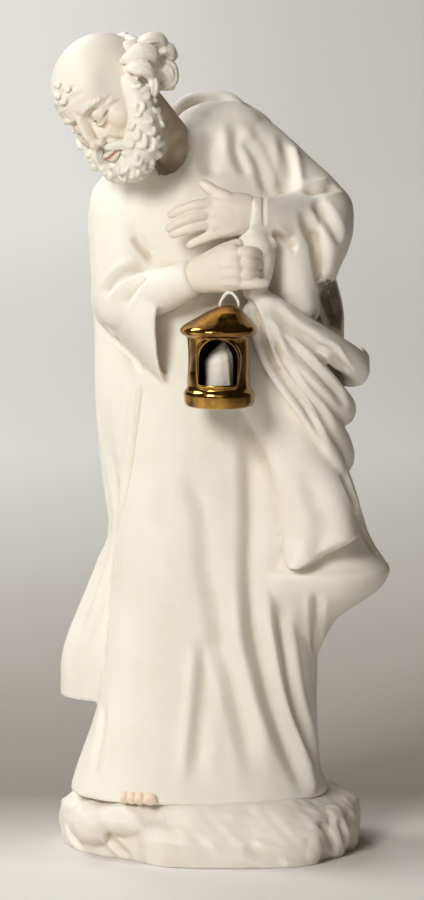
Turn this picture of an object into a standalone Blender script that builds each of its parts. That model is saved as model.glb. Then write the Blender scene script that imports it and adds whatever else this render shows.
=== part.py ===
"""Porcelain figure of a bearded, robed man who bows over a small gilt lantern.

The figure, its mantle and the rock under it are one casting. The lantern is a
separate gilt shell that hangs from the right fist, and the candle stands in it.
Front is -Y, up is +Z, and the origin is the middle of the flat underside.
"""

import math

import bmesh
import bpy
import numpy as np
from mathutils import Matrix, Vector
from mathutils.bvhtree import BVHTree

# Driving sizes, in metres
STATUE_HEIGHT = 0.232
ROCK_WIDTH = 0.0860
ROCK_DEPTH = 0.0680
ROCK_HEIGHT = 0.0172

LANTERN_EAVE_WIDTH = 0.0212
LANTERN_BODY_WIDTH = 0.0174
LANTERN_FOOT_WIDTH = 0.0196
LANTERN_HEIGHT = 0.0278
LANTERN_ROOF_HEIGHT = 0.0082
LANTERN_FOOT_HEIGHT = 0.0042
LANTERN_WALL = 0.0013
LANTERN_FLOOR = 0.0030
WINDOW_WIDTH = 0.0106
WINDOW_HEIGHT = 0.0126
WINDOW_FRAME = 0.0007
WINDOW_RELIEF = 0.0005

CANDLE_WIDTH = 0.0078
CANDLE_HEIGHT = 0.0104
FLAME_HEIGHT = 0.0042

CLEARANCE = 0.0003
PORCELAIN_VOXEL = 0.75
PORCELAIN_TRIANGLES = 7700

# The figure's own coordinates are millimetres on a statue 232 mm tall whose rock top is 17 mm up
DESIGN_TOP = 232.0
DESIGN_GROUND = 17.2
FIGURE_SCALE = (STATUE_HEIGHT - ROCK_HEIGHT) / (DESIGN_TOP - DESIGN_GROUND)

HEAD_CENTRE = (-28.2, -25.5, 214.6)
HEAD_FORWARD = (-0.42, -0.70, -0.58)
HEAD_UP = (-0.70, -0.16, 0.70)
HEAD_SCALE = 1.15

LANTERN_PLACE = (0.0027, -0.0345, 0.1296)
LANTERN_TURN = -2.0


def spline(table, count):
    """Rows of numbers read at `count` even steps along a smooth curve through the given rows."""
    rows = np.array(table, float)
    last = len(rows) - 1
    at = np.linspace(0, last, count)
    low = np.minimum(at.astype(int), last - 1)
    share = (at - low)[:, None]
    slopes = np.gradient(rows, axis=0) if last > 1 else np.diff(rows, axis=0).repeat(2, axis=0)
    square, cube = share**2, share**3
    return (
        (2 * cube - 3 * square + 1) * rows[low]
        + (cube - 2 * square + share) * slopes[low]
        + (3 * square - 2 * cube) * rows[low + 1]
        + (cube - square) * slopes[low + 1]
    )


def unit(vectors):
    """The vectors at length one."""
    length = np.linalg.norm(vectors, axis=-1, keepdims=True)
    return vectors / np.maximum(length, 1e-9)


def wrapped(around, along, place):
    """A closed body: a grid rolled up so that place(u, v) gives each point, u round it and v along it."""
    grid = bmesh.new()
    bmesh.ops.create_grid(grid, x_segments=around, y_segments=along, size=0.5)
    mesh = bpy.data.meshes.new("wrapped")
    grid.to_mesh(mesh)
    grid.free()
    points = np.empty(len(mesh.vertices) * 3, np.float32)
    mesh.vertices.foreach_get("co", points)
    points = points.reshape(-1, 3).astype(float)
    moved = place(points[:, 0] + 0.5, points[:, 1] + 0.5)
    mesh.vertices.foreach_set("co", moved.astype(np.float32).ravel())
    body = bmesh.new()
    body.from_mesh(mesh)
    bpy.data.meshes.remove(mesh)
    bmesh.ops.remove_doubles(body, verts=body.verts, dist=1e-4)
    bmesh.ops.holes_fill(body, edges=[e for e in body.edges if e.is_boundary], sides=0)
    bmesh.ops.recalc_face_normals(body, faces=body.faces)
    return body


def read(table, where):
    """The rows of a table read at shares from 0 to 1, through a dense smooth curve."""
    dense = spline(table, 401)
    at = np.clip(where, 0, 1) * 400
    low = np.minimum(at.astype(int), 399)
    share = (at - low)[:, None]
    return dense[low] * (1 - share) + dense[low + 1] * share


def stack(sections, around=96, along=64, power=2.3):
    """A body from level sections (z, left, right, front, back), each a rounded rectangle."""

    def place(u, v):
        z, left, right, front, back = read(sections, v).T
        turn = 2 * math.pi * u
        wide = np.sign(np.cos(turn)) * np.abs(np.cos(turn)) ** (2 / power)
        deep = np.sign(np.sin(turn)) * np.abs(np.sin(turn)) ** (2 / power)
        x = (left + right) / 2 + (right - left) / 2 * wide
        y = (front + back) / 2 + (back - front) / 2 * deep
        return np.stack([x, y, z], axis=1)

    return wrapped(around, along, place)


def limb(path, facing=(0, -1, 0), around=28, along=40, tip=0.12):
    """A body along a path of (x, y, z, half width, half thickness), with rounded ends. Its thickness lies along `facing`."""

    def place(u, v):
        rows = read(path, v)
        centre, wide, thick = rows[:, :3], rows[:, 3:4], rows[:, 4:5]
        tangent = unit(read(path, v + 0.01)[:, :3] - read(path, v - 0.01)[:, :3])
        side = unit(np.cross(tangent, np.array(facing, float)))
        normal = np.cross(side, tangent)
        end = np.minimum(v, 1 - v) / tip
        shrink = np.sqrt(np.clip(1 - (1 - np.clip(end, 0, 1)) ** 2, 0, 1))[:, None]
        turn = (2 * math.pi * u)[:, None]
        return centre + shrink * (side * wide * np.cos(turn) + normal * thick * np.sin(turn))

    return wrapped(around, along, place)


def ball(centre, radii, turn=(0, 0, 0), detail=4):
    """An ellipsoid at a centre, turned by degrees about X, Y and Z."""
    body = bmesh.new()
    bmesh.ops.create_icosphere(body, subdivisions=detail, radius=1)
    spin = Matrix.Rotation(math.radians(turn[2]), 4, "Z")
    spin = spin @ Matrix.Rotation(math.radians(turn[1]), 4, "Y")
    spin = spin @ Matrix.Rotation(math.radians(turn[0]), 4, "X")
    place = Matrix.Translation(centre) @ spin @ Matrix.Diagonal((*radii, 1))
    bmesh.ops.transform(body, matrix=place, verts=body.verts)
    return body


def holder(name, bodies):
    """A scratch object that holds the bodies in one mesh."""
    joined = bmesh.new()
    for body in bodies:
        part = bpy.data.meshes.new("part")
        body.to_mesh(part)
        body.free()
        joined.from_mesh(part)
        bpy.data.meshes.remove(part)
    mesh = bpy.data.meshes.new(name)
    joined.to_mesh(mesh)
    joined.free()
    thing = bpy.data.objects.new(name, mesh)
    bpy.context.scene.collection.objects.link(thing)
    return thing


def reskin(thing, voxel):
    """A voxel Remesh modifier, which fuses overlapping bodies into one closed skin."""
    remesh = thing.modifiers.new("skin", "REMESH")
    remesh.mode = "VOXEL"
    remesh.voxel_size = voxel


def fused(bodies, spaces, voxel, smoothing):
    """One closed skin around overlapping bodies, less the spaces, as a mesh."""
    solid, space = holder("solid", bodies), holder("space", spaces)
    reskin(space, voxel)
    reskin(solid, voxel)
    combine(solid, "DIFFERENCE", space)
    reskin(solid, voxel)
    smooth = solid.modifiers.new("soften", "SMOOTH")
    smooth.factor = 0.5
    smooth.iterations = smoothing
    graph = bpy.context.evaluated_depsgraph_get()
    made = bpy.data.meshes.new_from_object(solid.evaluated_get(graph))
    bpy.data.objects.remove(solid)
    bpy.data.objects.remove(space)
    return made


def skirt():
    """The tunic from under the hem to the waist."""
    return stack(
        [
            (6, -37, 32, -24, 23),
            (17, -39, 33.5, -26, 24),
            (24, -37.3, 31.5, -25.5, 23),
            (41, -31.6, 30.5, -24.5, 21),
            (60, -29, 30.3, -24, 20),
            (80, -27, 29, -24, 19),
            (100, -26, 28, -23, 19),
            (120, -25, 27, -22, 19),
            (140, -24, 26, -21.5, 19),
            (152, -23, 24, -20, 18),
        ]
    )


def torso():
    """The chest and back under the arms."""
    return stack(
        [
            (118, -26, 28, -19, 19),
            (140, -26, 29, -20, 19),
            (160, -28, 29, -22, 18),
            (178, -30, 28, -24, 17),
            (190, -30, 24, -22, 15),
            (199, -23, 19, -17, 13),
            (207, -10, 14, -10, 11),
        ],
        power=2.1,
    )


def mantle():
    """The cloak over the back and both sides, down to its hem."""
    return stack(
        [
            (41.5, -42.3, 29, -6, 27),
            (43, -42.5, 29, -7, 27.3),
            (55, -41.6, 29.5, -9, 26.5),
            (71, -35.3, 31, -11, 25),
            (86, -29.8, 33, -13, 24),
            (100, -29.6, 35, -14, 23),
            (120, -32.4, 36.5, -15, 22),
            (143, -33.1, 38, -14, 22),
            (155, -33, 37.5, -12, 22),
            (170, -32.5, 33, -10, 21),
            (185, -31, 29, -6, 19),
            (196, -22, 24, -3, 17),
            (206, -8, 17, 0, 14),
            (211, -4, 10, 2, 11),
        ],
        power=2.2,
    )


def bell():
    """The flared corner of the mantle at the left hip, which turns under at its rim."""
    return stack(
        [
            (54, 6, 30.0, -12, 12),
            (64.6, 4, 35.4, -17, 13),
            (69, 4, 40.3, -19, 13),
            (74, 4, 47.4, -21.5, 13),
            (78, 4, 50.4, -23.2, 13),
            (80.5, 4, 50.8, -23.6, 12.5),
            (82.5, 4, 49.6, -21.5, 12),
            (87.5, 4, 46.3, -19, 12),
            (97, 4, 42.6, -17, 12),
            (107, 4, 39.2, -16, 12),
            (120, 4, 37, -15, 12),
        ],
        power=2.2,
    )


def panel():
    """The front fall of cloth between the knees and the flared corner."""
    return stack(
        [
            (83.2, 13, 25.5, -26.8, -10),
            (86, 11, 32.0, -26.8, -8),
            (90.6, 9, 41.0, -26.2, -6),
            (93, 8, 41.4, -26, -6),
            (102, 6, 39.6, -25.6, -6),
            (109, 5, 37.1, -25.2, -6),
            (116, 3, 32.9, -24.8, -6),
            (126, 1, 27.9, -24.2, -6),
            (141, -2, 17.6, -23.4, -6),
            (156, -5, 10, -22.8, -6),
        ],
        power=2.6,
    )


def gathers():
    """Folds of the mantle that fan out from the fist to the left hip."""
    return [
        limb(
            [
                (12.0, -28.5, 160.5, 3.0, 4.0),
                (23.0, -25.5, 152.0, 3.6, 4.5),
                (33.5, -20.0, 144.5, 4.0, 5.5),
                (40.5, -10.0, 138.5, 4.2, 6.0),
                (38.0, 4.0, 135.0, 4.0, 6.0),
            ]
        ),
        limb(
            [
                (11.5, -28.5, 159.0, 2.4, 3.6),
                (21.0, -26.0, 147.0, 3.2, 4.2),
                (30.0, -21.5, 136.0, 4.0, 5.0),
                (36.6, -12.0, 127.0, 4.2, 5.0),
                (36.0, 2.0, 124.0, 4.0, 5.0),
            ]
        ),
        limb(
            [
                (10.5, -28.0, 158.0, 2.0, 3.4),
                (17.5, -26.0, 145.0, 2.8, 4.0),
                (25.5, -23.0, 133.0, 3.4, 4.6),
                (33.0, -17.0, 122.0, 4.0, 5.0),
                (36.4, -8.0, 113.0, 4.4, 5.0),
                (35.0, 4.0, 108.0, 4.2, 5.0),
            ]
        ),
        limb(
            [
                (9.5, -27.5, 157.0, 1.6, 3.0),
                (16.0, -26.0, 142.0, 2.0, 3.4),
                (25.0, -23.5, 129.0, 2.4, 3.8),
                (32.5, -20.0, 117.0, 2.6, 4.0),
                (37.5, -15.0, 106.0, 2.6, 4.0),
                (41.0, -12.0, 94.0, 2.6, 4.0),
            ]
        ),
    ]


def right_arm():
    """The upper arm, the tight sleeve and the cuff of the arm that holds the lantern."""
    return [
        limb(
            [
                (-19.0, -2.0, 191.0, 12.0, 11.0),
                (-22.0, -6.0, 180.0, 11.8, 12.0),
                (-22.2, -10.0, 168.0, 11.0, 11.5),
                (-21.5, -12.5, 156.5, 10.4, 10.5),
                (-19.0, -13.5, 149.0, 8.0, 9.0),
            ],
            around=40,
            tip=0.2,
        ),
        limb(
            [
                (-20.0, -17.0, 158.0, 7.0, 6.5),
                (-13.0, -23.0, 160.5, 6.2, 5.6),
                (-8.0, -26.8, 162.3, 5.2, 4.8),
                (-3.6, -29.5, 164.0, 4.7, 4.2),
            ]
        ),
    ]


def right_sleeve():
    """The wide sleeve that hangs open below the right forearm: a cup whose mouth faces the lantern."""
    wall, depth = 2.1, 0.55
    outside = [
        # x of the near and far edge, front, back, bottom, top
        (-33.0, -33.0, -8.0, -4.0, 155.0, 160.0),
        (-31.0, -31.0, -15.0, 1.0, 150.0, 168.0),
        (-27.0, -26.0, -20.0, 1.0, 146.5, 170.0),
        (-22.0, -20.0, -24.0, -2.0, 142.0, 169.0),
        (-18.0, -14.0, -26.8, -8.0, 137.6, 168.0),
        (-14.6, -8.4, -28.0, -12.0, 134.2, 167.4),
    ]

    def place(u, v):
        inner = v > 0.62
        back_in = np.clip((v - 0.64) / 0.36, 0, 1)
        near, far, front, back, bottom, top = read(outside, np.where(inner, 1 - back_in * depth, np.clip(v / 0.6, 0, 1))).T
        turn = 2 * math.pi * u
        shrink = np.where(inner, wall, 0.0)
        half_y = (back - front) / 2 - shrink
        half_z = (top - bottom) / 2 - shrink
        pinch = 1 - 0.35 * np.clip(-np.sin(turn), 0, 1) ** 2
        y = (front + back) / 2 + half_y * np.cos(turn) * pinch
        z = (top + bottom) / 2 + half_z * np.sin(turn)
        x = near + (far - near) * (np.cos(turn) + 1) / 2
        return np.stack([x, y, z], axis=1)

    return wrapped(56, 70, place)


def left_arm():
    """The shoulder, elbow and tight sleeve of the arm laid on the chest."""
    return [
        limb(
            [
                (-1.0, 3.0, 203.5, 8.6, 9.0),
                (5.2, 2.0, 201.2, 10.4, 11.0),
                (13.0, 0.0, 195.0, 11.0, 12.0),
                (21.8, -2.5, 187.0, 11.0, 12.5),
                (28.6, -6.0, 181.0, 10.6, 12.0),
                (29.4, -9.0, 175.0, 10.2, 11.0),
                (28.0, -11.0, 168.0, 9.0, 9.5),
            ],
            around=40,
            tip=0.16,
        ),
        limb(
            [
                (31.0, -10.0, 180.5, 8.0, 7.0),
                (25.0, -17.0, 179.5, 8.0, 7.0),
                (18.5, -23.5, 180.0, 6.8, 5.6),
                (12.5, -28.0, 181.6, 5.2, 4.6),
                (10.0, -29.3, 182.0, 4.9, 4.2),
            ]
        ),
    ]


def left_sleeve():
    """The wide sleeve below the left forearm: its front sheet and the folds hanging from the elbow."""
    return [
        stack(
            [
                (151.0, 22.5, 29.8, -19.0, 2.0),
                (153.5, 19.5, 31.0, -21.5, 5.0),
                (158.0, 17.5, 31.0, -23.5, 6.0),
                (166.0, 16.0, 30.2, -25.0, 6.0),
                (174.0, 15.0, 29.0, -26.0, 6.0),
                (182.0, 16.0, 28.0, -25.0, 4.0),
            ],
            around=64,
            along=40,
            power=2.8,
        ),
        stack(
            [
                (160.0, 28.0, 33.8, -15.0, 8.0),
                (163.0, 27.0, 35.4, -19.0, 10.0),
                (168.0, 26.0, 37.8, -21.5, 10.0),
                (171.0, 25.0, 39.0, -22.5, 9.0),
                (176.5, 24.0, 40.3, -22.5, 8.0),
                (184.3, 22.0, 39.6, -19.5, 6.0),
                (189.5, 20.0, 35.0, -14.0, 4.0),
            ],
            around=64,
            along=40,
            power=2.1,
        ),
    ]


def neck():
    """The neck, bent towards the bowed head."""
    return limb(
        [
            (-2.0, -1.0, 192.0, 8.5, 8.0),
            (-8.0, -7.0, 199.0, 7.6, 7.2),
            (-14.5, -13.0, 206.0, 7.4, 7.0),
            (-20.5, -19.0, 212.0, 7.6, 7.4),
        ],
        around=32,
    )


def collar():
    """The rolled edge of the mantle behind the neck."""
    return limb(
        [
            (-11.0, 4.0, 207.0, 1.8, 3.4),
            (-6.0, 6.0, 210.6, 2.4, 3.4),
            (0.0, 6.0, 211.8, 2.6, 3.6),
            (6.0, 4.0, 210.8, 2.6, 3.6),
            (9.4, -2.0, 207.4, 2.0, 3.0),
            (9.4, -9.0, 202.4, 1.6, 2.0),
        ]
    )


def left_hand():
    """The hand laid on the chest, fingers together and thumb up."""
    return [
        limb(
            [
                (13.8, -27.4, 182.2, 4.4, 3.2),
                (9.6, -29.4, 182.2, 5.6, 3.0),
                (5.0, -30.8, 181.8, 6.2, 2.6),
                (1.0, -31.2, 181.2, 5.7, 2.0),
                (-2.4, -31.2, 180.4, 4.4, 1.4),
            ],
            tip=0.2,
        ),
        limb([(2.4, -31.0, 185.2, 1.7, 1.7), (-4.8, -31.8, 184.2, 1.6, 1.5), (-11.4, -30.2, 181.4, 1.1, 1.1)]),
        limb([(1.0, -31.5, 182.2, 1.8, 1.8), (-5.8, -32.2, 180.7, 1.6, 1.5), (-12.0, -30.4, 177.6, 1.1, 1.1)]),
        limb([(1.0, -31.3, 179.6, 1.7, 1.7), (-5.2, -31.8, 178.2, 1.6, 1.5), (-11.0, -30.4, 175.9, 1.1, 1.1)]),
        limb([(4.4, -30.6, 177.0, 1.6, 1.6), (-1.4, -31.0, 175.2, 1.4, 1.4), (-6.2, -30.0, 173.0, 1.0, 1.0)]),
        limb([(9.0, -29.8, 184.8, 2.0, 2.0), (3.2, -30.6, 187.4, 1.6, 1.6), (-2.8, -29.0, 191.0, 1.1, 1.1)]),
    ]


def right_hand():
    """The fist that grips the bunched mantle and the lantern's ring."""
    fist = [
        limb(
            [
                (-5.8, -28.4, 164.4, 4.2, 3.8),
                (-2.0, -30.6, 165.4, 5.2, 3.8),
                (2.6, -32.8, 166.8, 6.3, 3.6),
                (7.0, -34.4, 167.8, 6.5, 3.2),
                (10.4, -34.8, 168.2, 5.8, 2.6),
            ],
            tip=0.18,
        ),
        limb([(5.6, -34.0, 163.6, 1.8, 1.8), (11.0, -34.9, 163.2, 1.5, 1.5), (16.6, -33.8, 163.5, 1.1, 1.1)]),
        limb([(-0.6, -31.4, 169.8, 2.0, 2.0), (4.4, -32.6, 172.6, 1.8, 1.8), (9.4, -31.8, 174.4, 1.5, 1.5)]),
    ]
    for height in (172.0, 168.9, 165.9):
        fist.append(limb([(8.6, -35.3, height, 1.8, 1.8), (13.6, -34.6, height - 0.3, 1.8, 1.8), (14.4, -29.0, height - 0.9, 1.5, 1.5)]))
    return fist


def bunch():
    """The mantle bunched in the fist, and the small porcelain ring that the lantern hangs from."""
    return [
        limb([(2.8, -34.4, 156.0, 0.9, 0.9), (3.2, -34.4, 159.0, 0.9, 0.9), (5.6, -34.2, 161.4, 0.9, 0.9), (8.0, -34.4, 159.0, 0.9, 0.9), (8.4, -34.4, 156.0, 0.9, 0.9)], tip=0.05),
        ball((12.6, -29.6, 173.4), (5.0, 4.0, 4.0), (0, 20, 0)),
        ball((17.2, -28.6, 173.6), (1.4, 2.0, 3.0), (0, 10, 0)),
        limb([(14.5, -28.0, 173.0, 4.0, 4.0), (14.0, -27.5, 166.0, 3.6, 4.2), (11.5, -27.5, 158.0, 3.0, 4.2)]),
    ]


def toes():
    """The toes of the right foot where they show under the hem."""
    foot = []
    for x, y, width in ((-23.6, -25.0, 1.15), (-21.6, -26.2, 1.25), (-19.4, -27.2, 1.35), (-16.4, -27.8, 1.9)):
        foot.append(limb([(x, y + 7.0, 19.0, width, 1.6), (x, y + 3.0, 18.4, width, 1.5), (x, y + 0.4, 17.4, width, 1.2)]))
    return foot


def head_frame():
    """The matrix from the upright head's own frame to the bowed head."""
    forward, up = Vector(HEAD_FORWARD).normalized(), Vector(HEAD_UP).normalized()
    side = (-forward).cross(up).normalized()
    up = side.cross(-forward)
    turn = Matrix((side, -forward, up)).transposed().to_4x4()
    return Matrix.Translation(HEAD_CENTRE) @ turn @ Matrix.Scale(HEAD_SCALE, 4)


def head():
    """The bald crown, a plain aged face, the beard and the back hair, built upright and facing -Y."""
    shapes = [
        ball((0, 1.0, 2.4), (11.3, 13.4, 11.8)),
        ball((0, -4.6, -6.0), (8.4, 8.0, 10.0)),
        limb([(-7.6, -8.2, 1.4, 1.3, 1.6), (-3.4, -11.6, 2.4, 1.3, 1.6), (3.4, -11.6, 2.4, 1.3, 1.6), (7.6, -8.2, 1.4, 1.3, 1.6)]),
        limb([(0, -11.6, 2.0, 1.2, 1.6), (0, -13.6, -2.0, 1.4, 2.0), (0, -15.0, -5.0, 2.0, 1.8)], tip=0.3),
        ball((-5.4, -8.6, -4.0), (2.8, 3.0, 2.6)),
        ball((5.4, -8.6, -4.0), (2.8, 3.0, 2.6)),
        ball((-3.9, -9.4, -0.3), (2.1, 2.2, 1.7)),
        ball((3.9, -9.4, -0.3), (2.1, 2.2, 1.7)),
        limb([(-2.6, -12.0, -9.4, 0.8, 0.9), (0, -13.0, -9.1, 0.9, 1.0), (2.6, -12.0, -9.4, 0.8, 0.9)]),
        ball((0, -8.6, -12.8), (7.6, 6.2, 5.6)),
        ball((0, -8.6, -15.4), (5.8, 5.0, 4.2)),
        ball((0, 8.6, -2.0), (10.4, 7.0, 8.6)),
    ]
    for side in (-1, 1):
        shapes.append(limb([(side * 0.6, -13.4, -7.4, 1.1, 1.0), (side * 3.0, -12.4, -8.2, 1.5, 1.3), (side * 5.6, -10.2, -11.0, 1.4, 1.4)]))
        shapes.append(limb([(side * 10.2, -1.2, 1.0, 2.4, 2.2), (side * 10.0, -2.8, -5.0, 3.2, 3.2), (side * 8.2, -6.0, -10.0, 4.4, 4.4), (side * 4.4, -8.2, -13.6, 4.6, 4.4)]))
        shapes.append(ball((side * 11.4, 1.6, 0.6), (1.4, 2.4, 3.4)))
        shapes.append(ball((side * 9.6, 6.6, 0.6), (3.4, 5.0, 5.8)))
    for shape in shapes:
        bmesh.ops.transform(shape, matrix=head_frame(), verts=shape.verts)
    return shapes


def locks():
    """The curled side and back hair over the left ear, and the small lock on the forehead."""
    return [
        ball((-15.4, -28.0, 222.6), (4.2, 5.0, 5.8)),
        ball((-12.8, -24.0, 220.6), (3.6, 5.0, 5.6)),
        limb([(-19.4, -31.5, 228.8, 1.4, 2.0), (-16.6, -31.0, 229.6, 1.7, 3.0), (-14.0, -30.0, 229.8, 1.8, 3.2), (-12.0, -28.6, 228.2, 1.6, 2.6)]),
        limb([(-23.6, -35.0, 223.6, 1.0, 1.4), (-20.4, -36.4, 225.4, 1.9, 2.4), (-17.4, -36.0, 226.6, 2.3, 3.0), (-15.0, -34.0, 225.0, 2.1, 3.0)]),
        limb([(-22.2, -36.6, 222.4, 1.2, 1.6), (-19.6, -37.2, 222.4, 1.9, 2.4), (-17.0, -36.8, 222.4, 2.0, 2.6), (-16.2, -35.0, 220.6, 1.5, 2.2)]),
        limb([(-13.6, -29.0, 226.6, 2.0, 3.0), (-11.0, -27.0, 226.2, 2.0, 3.2), (-9.6, -25.0, 224.0, 1.8, 3.0)]),
        limb([(-13.0, -30.0, 222.4, 2.4, 3.4), (-11.2, -29.0, 221.2, 2.5, 3.8), (-10.8, -28.0, 218.6, 2.3, 3.4), (-12.6, -29.0, 216.0, 1.3, 2.2)]),
        limb([(-15.4, -35.4, 219.8, 1.4, 1.7), (-15.0, -35.6, 217.0, 1.5, 1.7), (-15.6, -35.0, 214.2, 1.2, 1.3)]),
        limb([(-40.0, -35.2, 217.8, 1.2, 1.3), (-39.6, -37.0, 216.0, 1.5, 1.5), (-40.6, -37.4, 213.6, 1.1, 1.3)]),
    ]


def porcelain_forms():
    """Every body that the casting fuses together, without the rock."""
    forms = [skirt(), torso(), mantle(), bell(), panel(), right_sleeve(), neck(), collar()]
    for group in (gathers(), right_arm(), left_arm(), left_sleeve(), left_hand(), right_hand(), bunch(), toes(), head(), locks()):
        forms.extend(group)
    return forms


def hollows():
    """The open spaces between cloth layers: inside the mantle under the left elbow, and inside the tunic's neck."""
    return [
        limb(
            [
                (29.0, -12.0, 165.0, 3.0, 8.0),
                (32.5, -10.0, 158.0, 3.6, 8.0),
                (35.8, -9.0, 151.0, 4.4, 8.0),
                (38.0, -8.0, 146.0, 4.4, 7.0),
                (41.5, -6.0, 142.0, 3.0, 5.0),
            ]
        ),
        limb([(-9.0, -16.0, 206.0, 4.5, 5.0), (-10.5, -16.5, 197.0, 4.5, 4.0), (-11.5, -17.0, 190.5, 3.6, 3.0)]),
    ]


ROCK_OUTLINE = [
    # x and y where the rock meets the ground, as shares of its half width and half depth, and the height of its rim
    (0.0, 1.0, 13.0),
    (-0.37, 0.985, 13.0),
    (-0.7, 0.82, 12.0),
    (-0.91, 0.56, 12.0),
    (-0.99, 0.23, 11.5),
    (-0.94, -0.09, 12.0),
    (-0.84, -0.32, 12.5),
    (-0.69, -0.52, 12.0),
    (-0.51, -0.67, 10.5),
    (-0.335, -0.9, 8.5),
    (-0.14, -0.98, 8.0),
    (0.047, -0.995, 7.5),
    (0.28, -0.99, 7.0),
    (0.51, -0.955, 8.0),
    (0.66, -0.87, 10.0),
    (0.73, -0.72, 12.5),
    (0.84, -0.48, 12.5),
    (0.93, -0.23, 13.0),
    (0.995, 0.06, 13.0),
    (0.99, 0.38, 12.0),
    (0.86, 0.68, 12.0),
    (0.65, 0.87, 13.0),
    (0.35, 0.97, 13.0),
    (0.0, 1.0, 13.0),
]


def rock():
    """The low rock: flat below, a short steep side up to its rim, then a slope to the ground underfoot."""
    half_width = ROCK_WIDTH / FIGURE_SCALE / 2
    half_depth = ROCK_DEPTH / FIGURE_SCALE / 2
    height = ROCK_HEIGHT / FIGURE_SCALE
    side = [
        # share of the reach, then the height as a share up to the rim plus a share from the rim to the top
        (0.93, -0.2, 0.0),
        (0.985, 0.0, 0.0),
        (1.0, 0.35, 0.0),
        (1.0, 0.75, 0.0),
        (0.972, 1.0, 0.0),
        (0.88, 1.0, 0.5),
        (0.78, 1.0, 0.94),
        (0.62, 1.0, 1.0),
        (0.3, 1.0, 1.0),
        (0.02, 1.0, 1.0),
    ]

    def place(u, v):
        x, y, rim = read(ROCK_OUTLINE, u).T
        reach, low, high = read(side, v).T
        rim = rim * height / 17.2
        z = rim * low + (height - rim) * high
        return np.stack([half_width * reach * x, half_depth * reach * y, DESIGN_GROUND - height + np.minimum(z, height)], axis=1)

    return wrapped(120, 40, place)


def boulders():
    """The lumps at the rock's front right corner, and the one under the toes."""
    return [
        ball((-19.0, -17.5, 11.3), (14.0, 9.4, 5.5)),
        ball((26.4, -24.4, 4.6), (5.4, 6.4, 8.2), (0, 10, 20)),
        ball((33.6, -14.8, 5.0), (5.4, 7.6, 9.4), (0, 8, -20)),
        ball((37.4, -3.0, 5.0), (5.2, 9.0, 9.8)),
        ball((29.0, 2.0, 10.0), (9.6, 14.0, 8.0), (0, 20, 0)),
    ]


def fall(side, points, reach=300.0):
    """The start and direction of the rays that drop a drawn line onto the skin from one side."""
    across, up = np.array(points, float).T
    far = np.full(len(across), reach)
    starts = {
        "front": (across, -far, up),
        "back": (across, far, up),
        "left": (-far, across, up),
        "right": (far, across, up),
    }[side]
    ways = {"front": (0, 1, 0), "back": (0, -1, 0), "left": (1, 0, 0), "right": (-1, 0, 0)}[side]
    return np.stack(starts, axis=1), Vector(ways)


def carve(mesh, folds):
    """Presses grooves (depth above 0) and raises ridges (depth below 0) along lines drawn from one side."""
    points = np.empty(len(mesh.vertices) * 3, np.float32)
    mesh.vertices.foreach_get("co", points)
    points = points.reshape(-1, 3).astype(float)
    normals = np.empty(len(mesh.vertices) * 3, np.float32)
    mesh.vertex_normals.foreach_get("vector", normals)
    normals = normals.reshape(-1, 3).astype(float)
    skin = BVHTree.FromPolygons([Vector(p) for p in points], [tuple(f.vertices) for f in mesh.polygons])
    for side, depth, width, line in folds:
        length = sum(math.dist(a, b) for a, b in zip(line, line[1:]))
        starts, way = fall(side, spline(line, max(8, int(length))))
        hits = [skin.ray_cast(Vector(start), way)[0] for start in starts]
        track = np.array([hit for hit in hits if hit is not None])
        if len(track) < 4:
            continue
        middle = np.median(track, axis=0)
        track = track[np.abs((track - middle) @ np.array(way)) < 25]
        low, high = track.min(axis=0) - 3 * width, track.max(axis=0) + 3 * width
        near = np.flatnonzero(((points > low) & (points < high)).all(axis=1) & (normals @ np.array(way) < 0.15))
        if not len(near):
            continue
        gaps = np.linalg.norm(points[near][:, None] - track[None], axis=2)
        closest = gaps.argmin(axis=1)
        gap = gaps[np.arange(len(near)), closest]
        share = closest / (len(track) - 1)
        taper = np.clip(np.minimum(share, 1 - share) / 0.22, 0, 1)
        press = depth * (0.25 + 0.75 * taper) * taper**0.5 * np.exp(-((gap / width) ** 2))
        points[near] -= normals[near] * press[:, None]
    mesh.vertices.foreach_set("co", points.astype(np.float32).ravel())
    mesh.update()


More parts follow.
